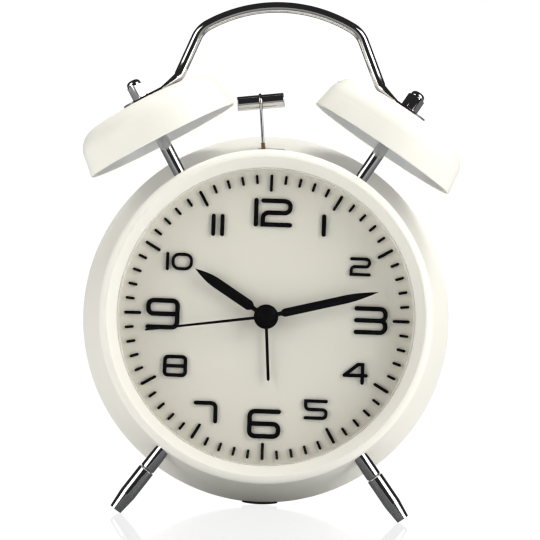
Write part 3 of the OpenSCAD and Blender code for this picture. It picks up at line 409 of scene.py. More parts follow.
def cream_enamel(name, painted_shade_from=None):
    """Sprayed enamel: a faint orange peel, cloudy gloss and a thin clear coat; further along the piece a greyer
    colour is painted on as the shade inside a hollow.
    """
    paint = Finish(name, {"Coat Weight": 0.12, "Coat Roughness": 0.22, "Specular IOR Level": 0.4})
    colour = paint.colours(paint.noise(35, 3), CREAM_DEEP, CREAM_LIGHT)
    if painted_shade_from is not None:
        along = paint.axis(paint.add("ShaderNodeUVMap", {"uv_map": "around"}), "Y")
        # Painted shade: past the given length along the piece, the inside of the hollow turns a darker, cooler
        # grey.
        colour = paint.colours(along > painted_shade_from, colour, BELL_HOLLOW_SHADE)
    paint.feed("Base Color", colour)
    paint.feed("Roughness", paint.noise(160) * 0.12 + 0.34)
    paint.bump(paint.noise(850) + paint.noise(3200) * 0.3, 0.000014)
    return paint


case_paint = cream_enamel("cream_paint")
case_line = eased_line([
    (CASE_FRONT_R, CASE_FRONT, 0), (case_r(CASE_REAR - REAR_ROUND), CASE_REAR - REAR_ROUND, 0.5),
    (CASE_REAR_R - REAR_STEP, CASE_REAR, 0.5), (CASE_REAR_R - REAR_LIP, CASE_REAR, 0.3),
    (CASE_REAR_R - REAR_LIP, CASE_REAR - CASE_WALL, 0.3),
    (case_r(CASE_REAR - CASE_WALL) - CASE_WALL, CASE_REAR - CASE_WALL, 0.4),
    (CASE_FRONT_R - CASE_WALL, CASE_FRONT, 0)])
slot_corners = ((-1, -1), (1, -1), (1, 1), (-1, 1))
slot_line = eased_line([(x * SLOT_HALF, y * SLOT_LENGTH / 2, SLOT_ROUND) for x, y in slot_corners])
punch_rows = [[(x, WIRE_DEPTH + y, height) for x, y in slot_line] for height in PUNCH_HEIGHTS]
punch_mesh = skin(punch_rows, False)
bmesh.ops.recalc_face_normals(punch_mesh, faces=punch_mesh.faces)
punch_data = bpy.data.meshes.new("punch")
punch_mesh.to_mesh(punch_data)
punch_mesh.free()
punch = bpy.data.objects.new("punch", punch_data)
bpy.context.scene.collection.objects.link(punch)
drum = lathe(case_line, case_axis, 192)
bmesh.ops.recalc_face_normals(drum, faces=drum.faces)
slotted = evaluated(drum, "BOOLEAN", {"operation": "DIFFERENCE", "solver": "EXACT", "object": punch})
bpy.data.objects.remove(punch)
fit("case", slotted, "case_shell", case_paint)


# Rear pad. A thin crescent moulded in black rubber and glued under the case's rear edge. With the two
# feet it carries the clock.
PAD_HALF = 6
PAD_LENGTH = 1.8
PAD_T = 0.47
PAD_ROUND = 0.3
PAD_DROP = 0.15
PAD_EDGE = 0.065
GLUE = 0.06

rubber = Finish("pad_rubber", {"Specular IOR Level": 0.3})
rubber.feed("Base Color", rubber.colours(rubber.noise(900, 4), (0.012, 0.012, 0.012, 1),
                                         (0.035, 0.034, 0.033, 1)))
rubber.feed("Roughness", rubber.noise(400) * 0.2 + 0.65)
rubber.bump(rubber.noise(4000, 3), 0.00003)
pad_rows = []
for step in range(41):
    across = PAD_HALF * (step / 20 - 1)
    thick = GLUE + (PAD_T - GLUE) * (1 - (across / PAD_HALF) ** 2) ** 0.5
    row = []
    for depth, lift in ((CASE_REAR - PAD_LENGTH, GLUE), (CASE_REAR, GLUE), (CASE_REAR, thick),
                        (CASE_REAR - PAD_ROUND, thick), (CASE_REAR - PAD_LENGTH + PAD_ROUND, thick),
                        (CASE_REAR - PAD_LENGTH, max(thick - PAD_DROP, PAD_EDGE))):
        turn = across / CASE_REAR_R
        reach = case_r(depth) + lift
        row.append((reach * math.sin(turn), depth, -reach * math.cos(turn)))
    pad_rows.append(row)
fit("pad", skin(pad_rows, False), "rear_pad", rubber)


# Bezel. A ring pressed from sheet steel with a rounded outer edge and a sloping inner face, enamelled
# with the case and snapped over the case's front edge, where it holds the lens.
BEZEL_R = 54
BEZEL_ROUND = 2.6
OPENING_R = 48.3
LIP_DEPTH = 5
LIP_EDGE = 0.6
SKIRT_DEPTH = 9
SEAT = 0.05

bezel_line = eased_line([
    (BEZEL_R, 0, BEZEL_ROUND), (BEZEL_R, SKIRT_DEPTH, 0.5), (case_r(SKIRT_DEPTH) + SEAT, SKIRT_DEPTH, 0),
    (CASE_FRONT_R + SEAT, CASE_FRONT, 0), (CASE_FRONT_R + SEAT, LIP_DEPTH, 0), (OPENING_R, LIP_DEPTH, 0.15),
    (OPENING_R, LIP_DEPTH - LIP_EDGE, 0.25), (BEZEL_R - BEZEL_ROUND, 0, 0.5)], 10)
fit("bezel_ring", lathe(bezel_line, case_axis, 192), "bezel", case_paint)


# Lens. A clear moulded disc with a broken edge. It lies on the case's front edge and the bezel's lip
# holds it there.
LENS_R = 49.8
LENS_FRONT = LIP_DEPTH + SEAT
LENS_REAR = CASE_FRONT - SEAT

glass = Finish("lens_glass", {"Roughness": 0.02})
clear = glass.add("ShaderNodeBsdfTransparent", None, {"Color": (0.985, 0.985, 0.985, 1)})
gloss = glass.add("ShaderNodeBsdfGlossy", None, {"Roughness": 0.03})
facing = glass.add("ShaderNodeLayerWeight", None, {"Blend": 0.5}, "Facing")
mirrored = facing ** 5 * 0.5 + glass.noise(60) * 0.012 + 0.015
mixed = glass.add("ShaderNodeMixShader", None, {0: mirrored, 1: clear, 2: gloss})
glass.tree.links.new(mixed.socket, glass.tree.nodes["Material Output"].inputs["Surface"])
lens_line = eased_line([(0, LENS_FRONT, 0), (LENS_R, LENS_FRONT, 0.35), (LENS_R, LENS_REAR, 0.2),
                        (0, LENS_REAR, 0)])
fit("clear_lens", lathe(lens_line, case_axis, 128), "lens", glass)


# Dial. A white moulded ring keeps the lens off the dial, a disc of sheet metal with a matt cream
# print. Both are dropped into the case from behind and held by the movement's frame.
RING_OUTER = 48.7
RING_INNER = 48
DIAL_FRONT = 14
DIAL_REAR = 15
DIAL_R = 50.4
DIAL_HOLE = 3.3

ring_white = Finish("ring_white", {"Specular IOR Level": 0.35})
ring_white.feed("Base Color", ring_white.colours(ring_white.noise(120, 3), (0.86, 0.85, 0.77, 1),
                                                 (0.9, 0.89, 0.81, 1)))
ring_white.feed("Roughness", ring_white.noise(500) * 0.15 + 0.42)
ring_white.bump(ring_white.noise(2500), 0.00001)
ring_line = eased_line([(RING_INNER, CASE_FRONT, 0.15), (RING_OUTER, CASE_FRONT, 0.15),
                        (RING_OUTER, DIAL_FRONT, 0), (RING_INNER, DIAL_FRONT, 0)])
fit("ring_wall", lathe(ring_line, case_axis, 160), "dial_ring", ring_white)

dial_print = Finish("dial_face", {"Specular IOR Level": 0.25})
dial_print.feed("Base Color", dial_print.colours(dial_print.noise(45, 4), (0.75, 0.724, 0.635, 1),
                                                 (0.79, 0.762, 0.671, 1)))
dial_print.feed("Roughness", dial_print.noise(700, 3) * 0.12 + 0.56)
dial_print.bump(dial_print.noise(5000, 3), 0.000006)
dial_line = eased_line([(DIAL_HOLE, DIAL_FRONT, 0.1), (DIAL_R, DIAL_FRONT, 0.1),
                        (DIAL_R, DIAL_REAR, 0.1), (DIAL_HOLE, DIAL_REAR, 0.1)])
fit("dial_plate", lathe(dial_line, case_axis, 160), "dial", dial_print)


# Numerals. Twelve raised numbers moulded in black plastic and glued to the dial. They are the packed
# shapes with their edges broken.
def softened(node, width):
    """A merged copy of a node's mesh, in the clock's frame, with its edges broken."""
    mesh = bmesh.new()
    mesh.from_mesh(frame["nodes"][node].data)
    mesh.transform(to_row.inverted())
    bmesh.ops.remove_doubles(mesh, verts=mesh.verts, dist=0.001)
    bmesh.ops.dissolve_limit(mesh, angle_limit=math.radians(1), verts=mesh.verts, edges=mesh.edges)
    edges = [edge for edge in mesh.edges if len(edge.link_faces) == 2
             and edge.calc_face_angle() > math.radians(32)]
    bmesh.ops.bevel(mesh, geom=edges, offset=width, offset_type="OFFSET", segments=2,
                    profile=0.5, affect="EDGES", clamp_overlap=True)
    return mesh


def satin_black(name, sheen, gloss):
    """Black lacquer with a fine grain and a slightly cloudy sheen."""
    black = Finish(name, {"Specular IOR Level": gloss})
    black.feed("Base Color", black.colours(black.noise(300, 3), (0.0020, 0.0020, 0.0026, 1),
                                           (0.0045, 0.0045, 0.0055, 1)))
    black.feed("Roughness", black.noise(900) * 0.15 + sheen)
    black.bump(black.noise(6000, 2), 0.000006)
    return black


numeral_black = satin_black("numeral_black", 0.34, 0.06)
fit("raised_numerals", softened("numerals", 0.1), "numerals", numeral_black)


# Minute marks. Sixty round-ended bars, every fifth one longer and wider, moulded with the numerals.
# One round button is stretched into a bar and set round the dial's edge, a little to the right.
DIAL_SET = 0.3
MARKS = {"Count": 60, "Ring radius": 46.1, "Hour length": 4.6, "Minute length": 2.1,
         "Hour width": 1.0, "Minute width": 0.88, "Height": 1.0}


class Pattern(Graph):
    """A rule that repeats or stretches a drawn piece, with named sizes."""

    def __init__(self, name, sizes, finish):
        super().__init__(bpy.data.node_groups.new(name, "GeometryNodeTree"))
        self.sizes = {}
        self.finish = finish
        self.tree.interface.new_socket("Geometry", in_out="INPUT", socket_type="NodeSocketGeometry")
        for label, size in sizes.items():
            kind = "NodeSocketInt" if isinstance(size, int) else "NodeSocketFloat"
            socket = self.tree.interface.new_socket(label, in_out="INPUT", socket_type=kind)
            self.sizes[socket.identifier] = size
        self.tree.interface.new_socket("Geometry", in_out="OUTPUT", socket_type="NodeSocketGeometry")
        self.given = self.tree.nodes.new("NodeGroupInput")

    def size(self, label):
        return Value(self, self.given.outputs[label])

    def triple(self, x, y, z):
        return self.add("ShaderNodeCombineXYZ", None, {"X": x, "Y": y, "Z": z})

    def made(self, geometry, drawn):
        whole = self.add("GeometryNodeRealizeInstances", None, {"Geometry": geometry})
        painted = self.add("GeometryNodeSetMaterial", None,
                           {"Geometry": whole, "Material": self.finish.material})
        self.add("NodeGroupOutput", None, {"Geometry": painted})
        return evaluated(drawn, "NODES", {"node_group": self.tree, "sizes": self.sizes})


marks = Pattern("minute_marks", MARKS, numeral_black)
mark_index = marks.add("GeometryNodeInputIndex")
mark_place = marks.add("GeometryNodeInputPosition")
inner_end = marks.add("ShaderNodeSeparateXYZ", None, {0: mark_place}, "Y") < 0
mark_turn = mark_index * (2 * math.pi) / marks.size("Count") - math.pi / 2
mark_points = marks.add("GeometryNodeMeshCircle", None, {"Vertices": marks.size("Count"),
                                                         "Radius": marks.size("Ring radius")})
bars = []
for kind, chosen in (("Hour", mark_index % 5 < 0.5), ("Minute", mark_index % 5 > 0.5)):
    width = marks.size(kind + " width")
    button = marks.add("GeometryNodeTransform", None, {
        "Geometry": marks.size("Geometry"), "Scale": marks.triple(width, width, marks.size("Height"))})
    drawn_out = marks.triple(0, 0 - marks.size(kind + " length"), 0)
    bar = marks.add("GeometryNodeSetPosition", None,
                    {"Geometry": button, "Selection": inner_end, "Offset": drawn_out})
    bars.append(marks.add("GeometryNodeInstanceOnPoints", None, {
        "Points": mark_points, "Selection": chosen, "Instance": bar,
        "Rotation": marks.triple(0, 0, mark_turn)}))
joined = marks.add("GeometryNodeJoinGeometry", None, {"Geometry": bars[0]})
marks.tree.links.new(bars[1].socket, joined.socket.node.inputs["Geometry"])
button_line = eased_line([(0, 0, 0), (0.5, 0, 0), (0.5, 1, 0.13), (0, 1, 0)], 3)
bar_ring = marks.made(joined, lathe(button_line, Matrix(), 24))
facing_front = Matrix.Rotation(math.radians(90), 4, "X")
bar_ring.transform(Matrix.Translation((DIAL_SET, DIAL_FRONT, 0)) @ facing_front)
fit("mark_ring", bar_ring, "minute_marks", numeral_black)


# Hands. Four hands punched from sheet and lacquered black, pressed on the ends of the centre tubes;
# the second hand carries the cap that hides them, with a turned groove round its middle.
GROOVE_R = 2.6
GROOVE_WIDTH = 0.36
GROOVE_DEPTH = 0.1

hand_black = satin_black("hand_black", 0.28, 0.1)
for hand in ("alarm_hand", "hour_hand", "minute_hand"):
    fit(hand + "_blade", softened(hand, 0.09), hand, hand_black)
capped = softened("second_hand", 0.09)
cap = min(capped.faces, key=lambda face: face.calc_center_median().y)
cap_r = max(math.hypot(vertex.co.x, vertex.co.z) for vertex in cap.verts)
bmesh.ops.inset_region(capped, faces=[cap], thickness=cap_r - GROOVE_R)
bmesh.ops.inset_region(capped, faces=[cap], thickness=GROOVE_WIDTH / 2, depth=-GROOVE_DEPTH)
bmesh.ops.inset_region(capped, faces=[cap], thickness=GROOVE_WIDTH / 2, depth=GROOVE_DEPTH)
fit("second_hand_blade", capped, "second_hand", hand_black, 20)


# Bells. Two domes drawn from sheet steel with a rolled rim, enamelled cream, with painted shade that makes the
# inside greyer.
# Each sits on its post's shoulder under the handle's tab. The left one stands more upright.
BELL_ANGLE = math.radians(32.4)
LEFT_FOOT_ANGLE = math.radians(32.8)
LEFT_TURN = math.radians(3.4)
TOP_LEAN = math.radians(2)
POST_BASE = case_r(POST_DEPTH)
BELL_LIFT = 12.1
BELL_RIM = POST_BASE + BELL_LIFT
BELL_R = 26.6
BELL_HEIGHT = 15
BELL_WALL = 0.9
BELL_CORNER = 8
BELL_CROWN = 0.8
BELL_SHOULDER = math.radians(78)
CROWN_R = 5.3
RIM_STEP = 0.9
RIM_ROLL = 0.45
STUD_R = 1.5


def radial(angle, height=0.0):
    """The place of a piece drawn along z that points out from the case, positive to the right."""
    return (Matrix.Translation((0, POST_DEPTH, 0)) @ Matrix.Rotation(angle, 4, "Y")
            @ Matrix.Translation((0, 0, height)))


foot_of = {"left": -LEFT_FOOT_ANGLE, "right": BELL_ANGLE}
axis_of = {"left": LEFT_TURN - LEFT_FOOT_ANGLE, "right": BELL_ANGLE}
lean_middle = Matrix.Translation((0, POST_DEPTH, POST_BASE * math.cos(BELL_ANGLE)))
leaning = lean_middle @ Matrix.Rotation(TOP_LEAN, 4, "X") @ lean_middle.inverted()


def on_post(side, height=0.0):
    """The place of a piece drawn along z on a bell post; everything on top leans a little forward."""
    turn = Matrix.Rotation(axis_of[side] - foot_of[side], 4, "Y")
    return leaning @ radial(foot_of[side], POST_BASE) @ turn @ Matrix.Translation((0, 0, height - POST_BASE))


def bell_side(inset):
    radius = BELL_R - inset
    height = BELL_HEIGHT - inset
    corner = BELL_CORNER - inset
    middle = (radius - RIM_STEP - corner, height - BELL_CROWN - corner)
    line = []
    for step in range(25):
        angle = BELL_SHOULDER * step / 24
        line.append((middle[0] + corner * math.cos(angle), middle[1] + corner * math.sin(angle)))
    shoulder = line[-1]
    for step in range(1, 9):
        share = step / 8
        line.append((shoulder[0] + (CROWN_R - shoulder[0]) * share,
                     shoulder[1] + (height - shoulder[1]) * math.sin(share * math.pi / 2) ** 0.9))
    return line


rim = [(BELL_R - RIM_ROLL + RIM_ROLL * math.cos(angle), RIM_ROLL + RIM_ROLL * math.sin(angle))
       for angle in [math.pi * (1 + step / 8) for step in range(9)]]
outside_line = rim + bell_side(0) + [(STUD_R + SEAT, BELL_HEIGHT)]
outside_length = sum(math.dist(start, end) for start, end in zip(outside_line, outside_line[1:]))
bell_paint = cream_enamel("bell_paint", outside_length / UV_LENGTH)
bell_line = outside_line + [(STUD_R + SEAT, BELL_HEIGHT - BELL_WALL)] + bell_side(BELL_WALL)[::-1]
for side in ("left", "right"):
    fit(side + "_bell_dome", lathe(bell_line, on_post(side, BELL_RIM), 160), side + "_bell", bell_paint)


# Bell posts. Turned and chromed steel rods, screwed through the case wall and reduced at the top to
# a thread that carries the bell, the handle's tab and the nut.
POST_R = 2.1
POST_SINK = 0.65
TAB_R = BELL_RIM + BELL_HEIGHT + SEAT
TAB_T = 1
NUT_R = TAB_R + TAB_T + SEAT
NUT_HEIGHT = 6.5
STUD_SHARE = 0.6

chrome = Finish("chrome", {"Metallic": 1.0})
around = chrome.add("ShaderNodeTexCoord", output="UV")
drawn = chrome.add("ShaderNodeVectorMath", {"operation": "MULTIPLY"}, {0: around, 1: (60, 6, 1)}, 0)
chrome.feed("Base Color", chrome.colours(chrome.noise(90, 3), (0.56, 0.56, 0.565, 1),
                                         (0.64, 0.638, 0.635, 1)))
chrome.feed("Roughness", chrome.noise(1, 3, drawn) * 0.05 + chrome.noise(140) * 0.05 + 0.03)
chrome.bump(chrome.noise(2, 2, drawn), 0.000004)
post_foot = POST_BASE - POST_SINK
post_top = BELL_RIM + BELL_HEIGHT - BELL_WALL - SEAT
stud_top = NUT_R + NUT_HEIGHT * STUD_SHARE
post_line = eased_line([(0, post_foot, 0), (POST_R, post_foot, 0), (POST_R, post_top, 0.3),
                        (STUD_R, post_top, 0), (STUD_R, stud_top, 0.3), (0, stud_top, 0)], 4)
for side in ("left", "right"):
    fit(side + "_post", lathe(post_line, on_post(side), 64), side + "_bell_post", chrome)


# Handle. One chromed steel rod bent to an arch with two corners, whose ends are hammered flat into
# tabs and drilled. The arch stands a little to the right of the middle.
ROD_D = 3.6
HANDLE_RISE = 33.1
HANDLE_SET = 1.9
ARCH_R = 48
CORNER_R = 9
SIDE_ANGLE = math.radians(22.5)
BEND_IN = 10.2
BEND_R = 2.5
HEEL_LIFT = 1.1
HEEL_FLAT = 0.2
FLAT_LENGTH = 5.6
TAB_W = 9
TAB_OUT = 6.4
TAB_EDGE_SQUARE = 0.7
TAB_FACE_SQUARE = 0.8
ROD_SIDES = 40


def half_handle(side, set_out):
    """Points from the arch's middle to a tab's end: place, flatness and share of the tab's width."""
    foot, lean = abs(foot_of[side]), abs(axis_of[side])
    tab_along = Vector((math.cos(lean), -math.sin(lean)))
    tab_out = Vector((math.sin(lean), math.cos(lean)))
    seat = POST_BASE * Vector((math.sin(foot), math.cos(foot))) + tab_out * (TAB_R + TAB_T / 2 - POST_BASE)
    tab_end = seat + tab_along * TAB_OUT
    bend_x = TAB_R * math.sin(BELL_ANGLE) - BEND_IN + set_out
    root = seat - tab_along * (seat.x - bend_x) / math.cos(lean)
    flat_place = root + tab_along * FLAT_LENGTH
    outward = Vector((math.cos(SIDE_ANGLE), math.sin(SIDE_ANGLE)))
    up = Vector((-outward.y, outward.x))
    bend = root + up * HEEL_LIFT / up.dot(tab_out)
    arch_middle = Vector((set_out, TAB_R * math.cos(BELL_ANGLE) + HANDLE_RISE - ARCH_R))
    reach = (bend - arch_middle).dot(outward) - CORNER_R
    turn = SIDE_ANGLE + math.acos(reach / (ARCH_R - CORNER_R))
    corner_middle = arch_middle + (ARCH_R - CORNER_R) * Vector((math.cos(turn), math.sin(turn)))
    line = []
    for step in range(30):
        angle = math.pi / 2 + (turn - math.pi / 2) * step / 30
        line.append((arch_middle + ARCH_R * Vector((math.cos(angle), math.sin(angle))), 0, 1))
    for step in range(17):
        angle = turn + (SIDE_ANGLE - turn) * step / 16
        line.append((corner_middle + CORNER_R * Vector((math.cos(angle), math.sin(angle))), 0, 1))
    taper = (flat_place - bend).normalized()
    half = up.angle(taper) / 2
    start = BEND_R / math.tan(half)
    middle = bend + (up + taper).normalized() * BEND_R / math.sin(half)
    swept = math.pi - 2 * half
    first = bend + up * start - middle
    last = bend + taper * start - middle
    for step in range(11):
        share = step / 10
        turned = first * math.sin((1 - share) * swept) + last * math.sin(share * swept)
        line.append((middle + turned / math.sin(swept), HEEL_FLAT * share, 1))
    heel_end = line[-1][0]
    for step in range(1, 9):
        share = step / 8
        line.append((heel_end + (flat_place - heel_end) * share, HEEL_FLAT + (1 - HEEL_FLAT) * share, 1))
    for step in range(17):
        angle = math.pi / 2 * step / 16
        line.append((tab_end - tab_along * TAB_W / 2 * (1 - math.sin(angle)), 1, max(math.cos(angle), 0.04)))
    return line


def power(value, exponent):
    """A power that keeps the sign; an exponent under one makes a round section squarer."""
    return math.copysign(abs(value) ** exponent, value)


left_half = [(Vector((-place.x, place.y)), flat, share)
             for place, flat, share in half_handle("left", -HANDLE_SET)]
handle_line = left_half[:0:-1] + half_handle("right", HANDLE_SET)
handle_rows = []
for index, (place, flat, share) in enumerate(handle_line):
    before = handle_line[max(index - 1, 0)][0]
    after = handle_line[min(index + 1, len(handle_line) - 1)][0]
    heading = (after - before).normalized()
    width = ROD_D + (TAB_W * share - ROD_D) * flat
    thick = ROD_D + (TAB_T - ROD_D) * flat
    row = []
    for step in range(ROD_SIDES):
        angle = 2 * math.pi * step / ROD_SIDES
        across = width / 2 * power(math.cos(angle), 1 - TAB_EDGE_SQUARE * flat)
        out = thick / 2 * power(math.sin(angle), 1 - TAB_FACE_SQUARE * flat)
        row.append((place.x - heading.y * out, POST_DEPTH + across, place.y + heading.x * out))
    handle_rows.append(row)
handle = skin(handle_rows, False)
handle.transform(leaning)
fit("handle_rod", handle, "handle", chrome, 30)


# Cap nuts. Chromed hexagon nuts with a narrower turned dome, run down on the posts' threads to hold
# the handle and the bells. The left one stops with an edge to the front, the right one with a flat.
NUT_FLATS = 5.3
NUT_HEXAGON = 4.3
NUT_CHAMFER = 0.3
NUT_SHOULDER = 0.35
NUT_NECK = 0.5
NUT_DOME_R = 2.4
NUT_DOME_FOOT = 5.0


def add_mesh(whole, part):
    """Joins one mesh to another, as loose pieces of the same node."""
    data = bpy.data.meshes.new("part")
    part.to_mesh(data)
    whole.from_mesh(data)
    bpy.data.meshes.remove(data)


nut_corner = NUT_FLATS / 2 / math.cos(math.radians(30))
nut_profile = [(nut_corner - NUT_CHAMFER, 0), (nut_corner, NUT_CHAMFER), (nut_corner, NUT_HEXAGON),
               (NUT_FLATS / 2, NUT_HEXAGON + NUT_SHOULDER), (NUT_DOME_R, NUT_HEXAGON + NUT_NECK)]
for step in range(12):
    angle = math.pi / 2 * step / 12
    nut_profile.append((NUT_DOME_R * math.cos(angle) ** 0.7,
                        NUT_DOME_FOOT + (NUT_HEIGHT - NUT_DOME_FOOT) * math.sin(angle)))
nut_profile += [(0, NUT_HEIGHT), (0, 0)]
nuts = bmesh.new()
for side, set_turn in (("left", math.pi / 6), ("right", 0)):
    nut_rows = []
    for radius, height in nut_profile:
        row = []
        for step in range(96):
            turn = 2 * math.pi * step / 96
            flat_turn = (turn + math.pi / 6) % (math.pi / 3) - math.pi / 6
            reach = min(radius, NUT_FLATS / 2 / math.cos(math.pi / 6 - abs(flat_turn)))
            row.append((reach * math.cos(turn), reach * math.sin(turn), height))
        nut_rows.append(row)
    nut = skin(nut_rows, True)
    nut.transform(on_post(side, NUT_R) @ Matrix.Rotation(set_turn, 4, "Z"))
    add_mesh(nuts, nut)
    nut.free()
fit("hexagon_nuts", nuts, "cap_nuts", chrome, 20)


# Hammer. A chromed head turned from rod, held a little askew in a ring of the spring wire that swings
# it. A short winding of tarnished brass stiffens the wire where it leaves the case.
PIVOT_HEIGHT = 25
HAMMER_REST = math.radians(5.2)
HEAD_LIFT = 4
HAMMER_LENGTH = BELL_RIM + HEAD_LIFT - PIVOT_HEIGHT
HEAD_LENGTH = 15.6
HEAD_R = 2.4
HEAD_GROOVE_DEPTH = 0.5
HEAD_GROOVE_HALF = 0.55
WIRE_R = 0.5
WIRE_FOOT = 14
HEAD_TURN = math.radians(2)
SLEEVE_START = 30.92
SLEEVE_END = 33.3
SLEEVE_R = 0.76
SLEEVE_GAP = 0.02
COIL_DEPTH = 0.22
SLEEVE_COILS = 5
COIL_STEPS = 8

swung = (Matrix.Translation((0, WIRE_DEPTH, PIVOT_HEIGHT)) @ Matrix.Rotation(-HAMMER_REST, 4, "Y"))
head_place = (swung @ Matrix.Translation((0, 0, HAMMER_LENGTH))
              @ Matrix.Rotation(math.radians(90) - HEAD_TURN, 4, "Y"))
groove = [(HEAD_R - HEAD_GROOVE_DEPTH * math.sin(angle), -HEAD_GROOVE_HALF * math.cos(angle), 0)
          for angle in [math.pi * step / 8 for step in range(9)]]
head_line = eased_line([(0, -HEAD_LENGTH / 2, 0), (HEAD_R, -HEAD_LENGTH / 2, 0.35)] + groove
                       + [(HEAD_R, HEAD_LENGTH / 2, 0.35), (0, HEAD_LENGTH / 2, 0)], 5)
fit("striker_head", lathe(head_line, head_place, 80), "hammer_head", chrome)
wire_end = HAMMER_LENGTH - HEAD_R
wire_line = [(0, WIRE_FOOT), (WIRE_R, WIRE_FOOT), (WIRE_R, wire_end), (0, wire_end)]
wire = lathe(wire_line, swung, 24)
ring_line = [(HEAD_R + WIRE_R * math.cos(angle), WIRE_R * math.sin(angle))
             for angle in [2 * math.pi * step / 20 for step in range(20)]]
wire_ring = lathe(ring_line, head_place, 64)
add_mesh(wire, wire_ring)
wire_ring.free()
fit("spring_wire", wire, "hammer_wire", chrome)

brass = Finish("brass", {"Metallic": 1.0})
brass.feed("Base Color", brass.colours(brass.noise(260, 4), (0.36, 0.22, 0.075, 1), (0.58, 0.40, 0.16, 1)))
brass.feed("Roughness", brass.noise(700, 3) * 0.22 + 0.2)
brass.bump(brass.noise(3500, 2), 0.00001)
tarnish = Finish("winding_brass", {"Metallic": 0.85})
tarnish.feed("Base Color", tarnish.colours(tarnish.noise(1400, 3), (0.16, 0.09, 0.035, 1),
                                           (0.62, 0.45, 0.25, 1)))
tarnish.feed("Roughness", tarnish.noise(1500, 3) * 0.2 + 0.36)
tarnish.bump(tarnish.noise(5000, 2), 0.00001)
sleeve_line = [(WIRE_R + SLEEVE_GAP, SLEEVE_END), (WIRE_R + SLEEVE_GAP, SLEEVE_START)]
for step in range(SLEEVE_COILS * COIL_STEPS + 1):
    swell = abs(math.sin(math.pi * step / COIL_STEPS))
    share = step / (SLEEVE_COILS * COIL_STEPS)
    sleeve_line.append((SLEEVE_R - COIL_DEPTH + COIL_DEPTH * swell,
                        SLEEVE_START + (SLEEVE_END - SLEEVE_START) * share))
fit("wire_sleeve", lathe(sleeve_line, swung, 32), "hammer_sleeve", tarnish)


# Legs. Each is a chromed sleeve screwed through the case wall and a longer turned foot with a
# tapered tip; a fine groove shows where they meet.
LEG_ANGLE = math.radians(36.2)
SLEEVE_D = 5
LEG_SINK = 0.75
SLEEVE_LENGTH = 7.8
FOOT_JOINT = POST_BASE + SLEEVE_LENGTH
FOOT_END = 80.42
FOOT_D = 5.5
TIP_D = 4.2
TAPER = 6.2

leg_line = eased_line([(0, POST_BASE - LEG_SINK, 0), (SLEEVE_D / 2, POST_BASE - LEG_SINK, 0),
                       (SLEEVE_D / 2, FOOT_JOINT, 0.5), (0, FOOT_JOINT, 0)], 5)
foot_line = eased_line([(0, FOOT_JOINT + SEAT, 0), (FOOT_D / 2, FOOT_JOINT + SEAT, 0.55),
                        (FOOT_D / 2, FOOT_END - TAPER, 1.5), (TIP_D / 2, FOOT_END, 0.06),
                        (0, FOOT_END, 0)], 6)
for side, angle in (("left", math.pi + LEG_ANGLE), ("right", math.pi - LEG_ANGLE)):
    fit(side + "_sleeve", lathe(leg_line, radial(angle), 80), side + "_leg_sleeve", chrome)
    fit(side + "_tapered_foot", lathe(foot_line, radial(angle), 80), side + "_foot", chrome)


# Back cover. A moulded cover with a spark-eroded grain closes the case, with a well for two cells, a
# hinged battery door and a slot for the alarm switch. Four screws hold it to the movement's pillars.
COVER_OUTSIDE = 54.5
SCREW_PROUD = 0.3
SCREW_TAPER = 0.86
SCREW_RING = 46
SCREW_ANGLES = (48, 132, 200, 340)
SCREWS = {"Head radius": 2.5, "Head height": 1.45, "Recess length": 2.9, "Recess width": 0.6,
          "Recess depth": 0.9}

back_plastic = Finish("back_plastic", {"Specular IOR Level": 0.4})
back_plastic.feed("Base Color", back_plastic.colours(back_plastic.noise(60, 3), (0.76, 0.735, 0.655, 1),
                                                     (0.80, 0.778, 0.70, 1)))
back_plastic.feed("Roughness", back_plastic.noise(1200, 3) * 0.2 + 0.42)
back_plastic.bump(back_plastic.noise(2200, 4), 0.00006, 0.6)
fit("rear_cover", softened("back_cover", 0.25), "back_cover", back_plastic, 20)
fit("battery_lid", softened("battery_door", 0.25), "battery_door", back_plastic, 20)

steel = Finish("steel", {"Metallic": 1.0})
steel.feed("Base Color", steel.colours(steel.noise(400, 4), (0.36, 0.365, 0.375, 1), (0.56, 0.56, 0.565, 1)))
steel.feed("Roughness", steel.noise(900, 3) * 0.25 + 0.22)
steel.bump(steel.noise(4000, 2), 0.000012)

screws = Pattern("cover_screws", SCREWS, steel)
head_height = screws.size("Head height")
blank_head = screws.add("GeometryNodeMeshCone", None, {
    "Vertices": 40, "Radius Top": screws.size("Head radius") * SCREW_TAPER,
    "Radius Bottom": screws.size("Head radius"), "Depth": head_height})
recesses = []
for length, width in (("Recess length", "Recess width"), ("Recess width", "Recess length")):
    bit = screws.add("GeometryNodeMeshCube", None, {
        "Size": screws.triple(screws.size(length), screws.size(width), screws.size("Recess depth") * 2)})
    recesses.append(screws.add("GeometryNodeTransform", None, {
        "Geometry": bit, "Translation": screws.triple(0, 0, head_height)}))
driven = blank_head
for bit in recesses:
    driven = screws.add("GeometryNodeMeshBoolean", {"operation": "DIFFERENCE", "solver": "EXACT"},
                        {"Mesh 1": driven, "Mesh 2": bit})
set_screws = screws.add("GeometryNodeInstanceOnPoints", None, {
    "Points": screws.size("Geometry"), "Instance": driven})
screw_spots = bmesh.new()
for angle in SCREW_ANGLES:
    turn = math.radians(angle)
    screw_spots.verts.new((SCREW_RING * math.cos(turn), -SCREW_RING * math.sin(turn), 0))
screw_heads = screws.made(set_screws, screw_spots)
screw_seat = COVER_OUTSIDE + SCREW_PROUD - SCREWS["Head height"]
screw_heads.transform(Matrix.Translation((0, screw_seat, 0)) @ case_axis)
fit("screw_heads", screw_heads, "cover_screws", steel, 25)


# Setting knobs. Two black moulded knobs with ribbed sides, a dished face and a raised button, pushed
# on the ends of the setting arbors. One rib is drawn and set round the knob.
KNOB_OUT = 21
KNOB_FOOT = 54.9
KNOB_HEIGHT = 6.5
KNOB_R = 8
BUTTON_R = 5.5
BUTTON_PROUD = 0.6
BUTTON_DISH = 0.15
FACE_DISH = 0.4
RIB_PROUD = 0.75
RIBS = {"Count": 18, "Ring radius": 7.3}
RIB_R = 0.7

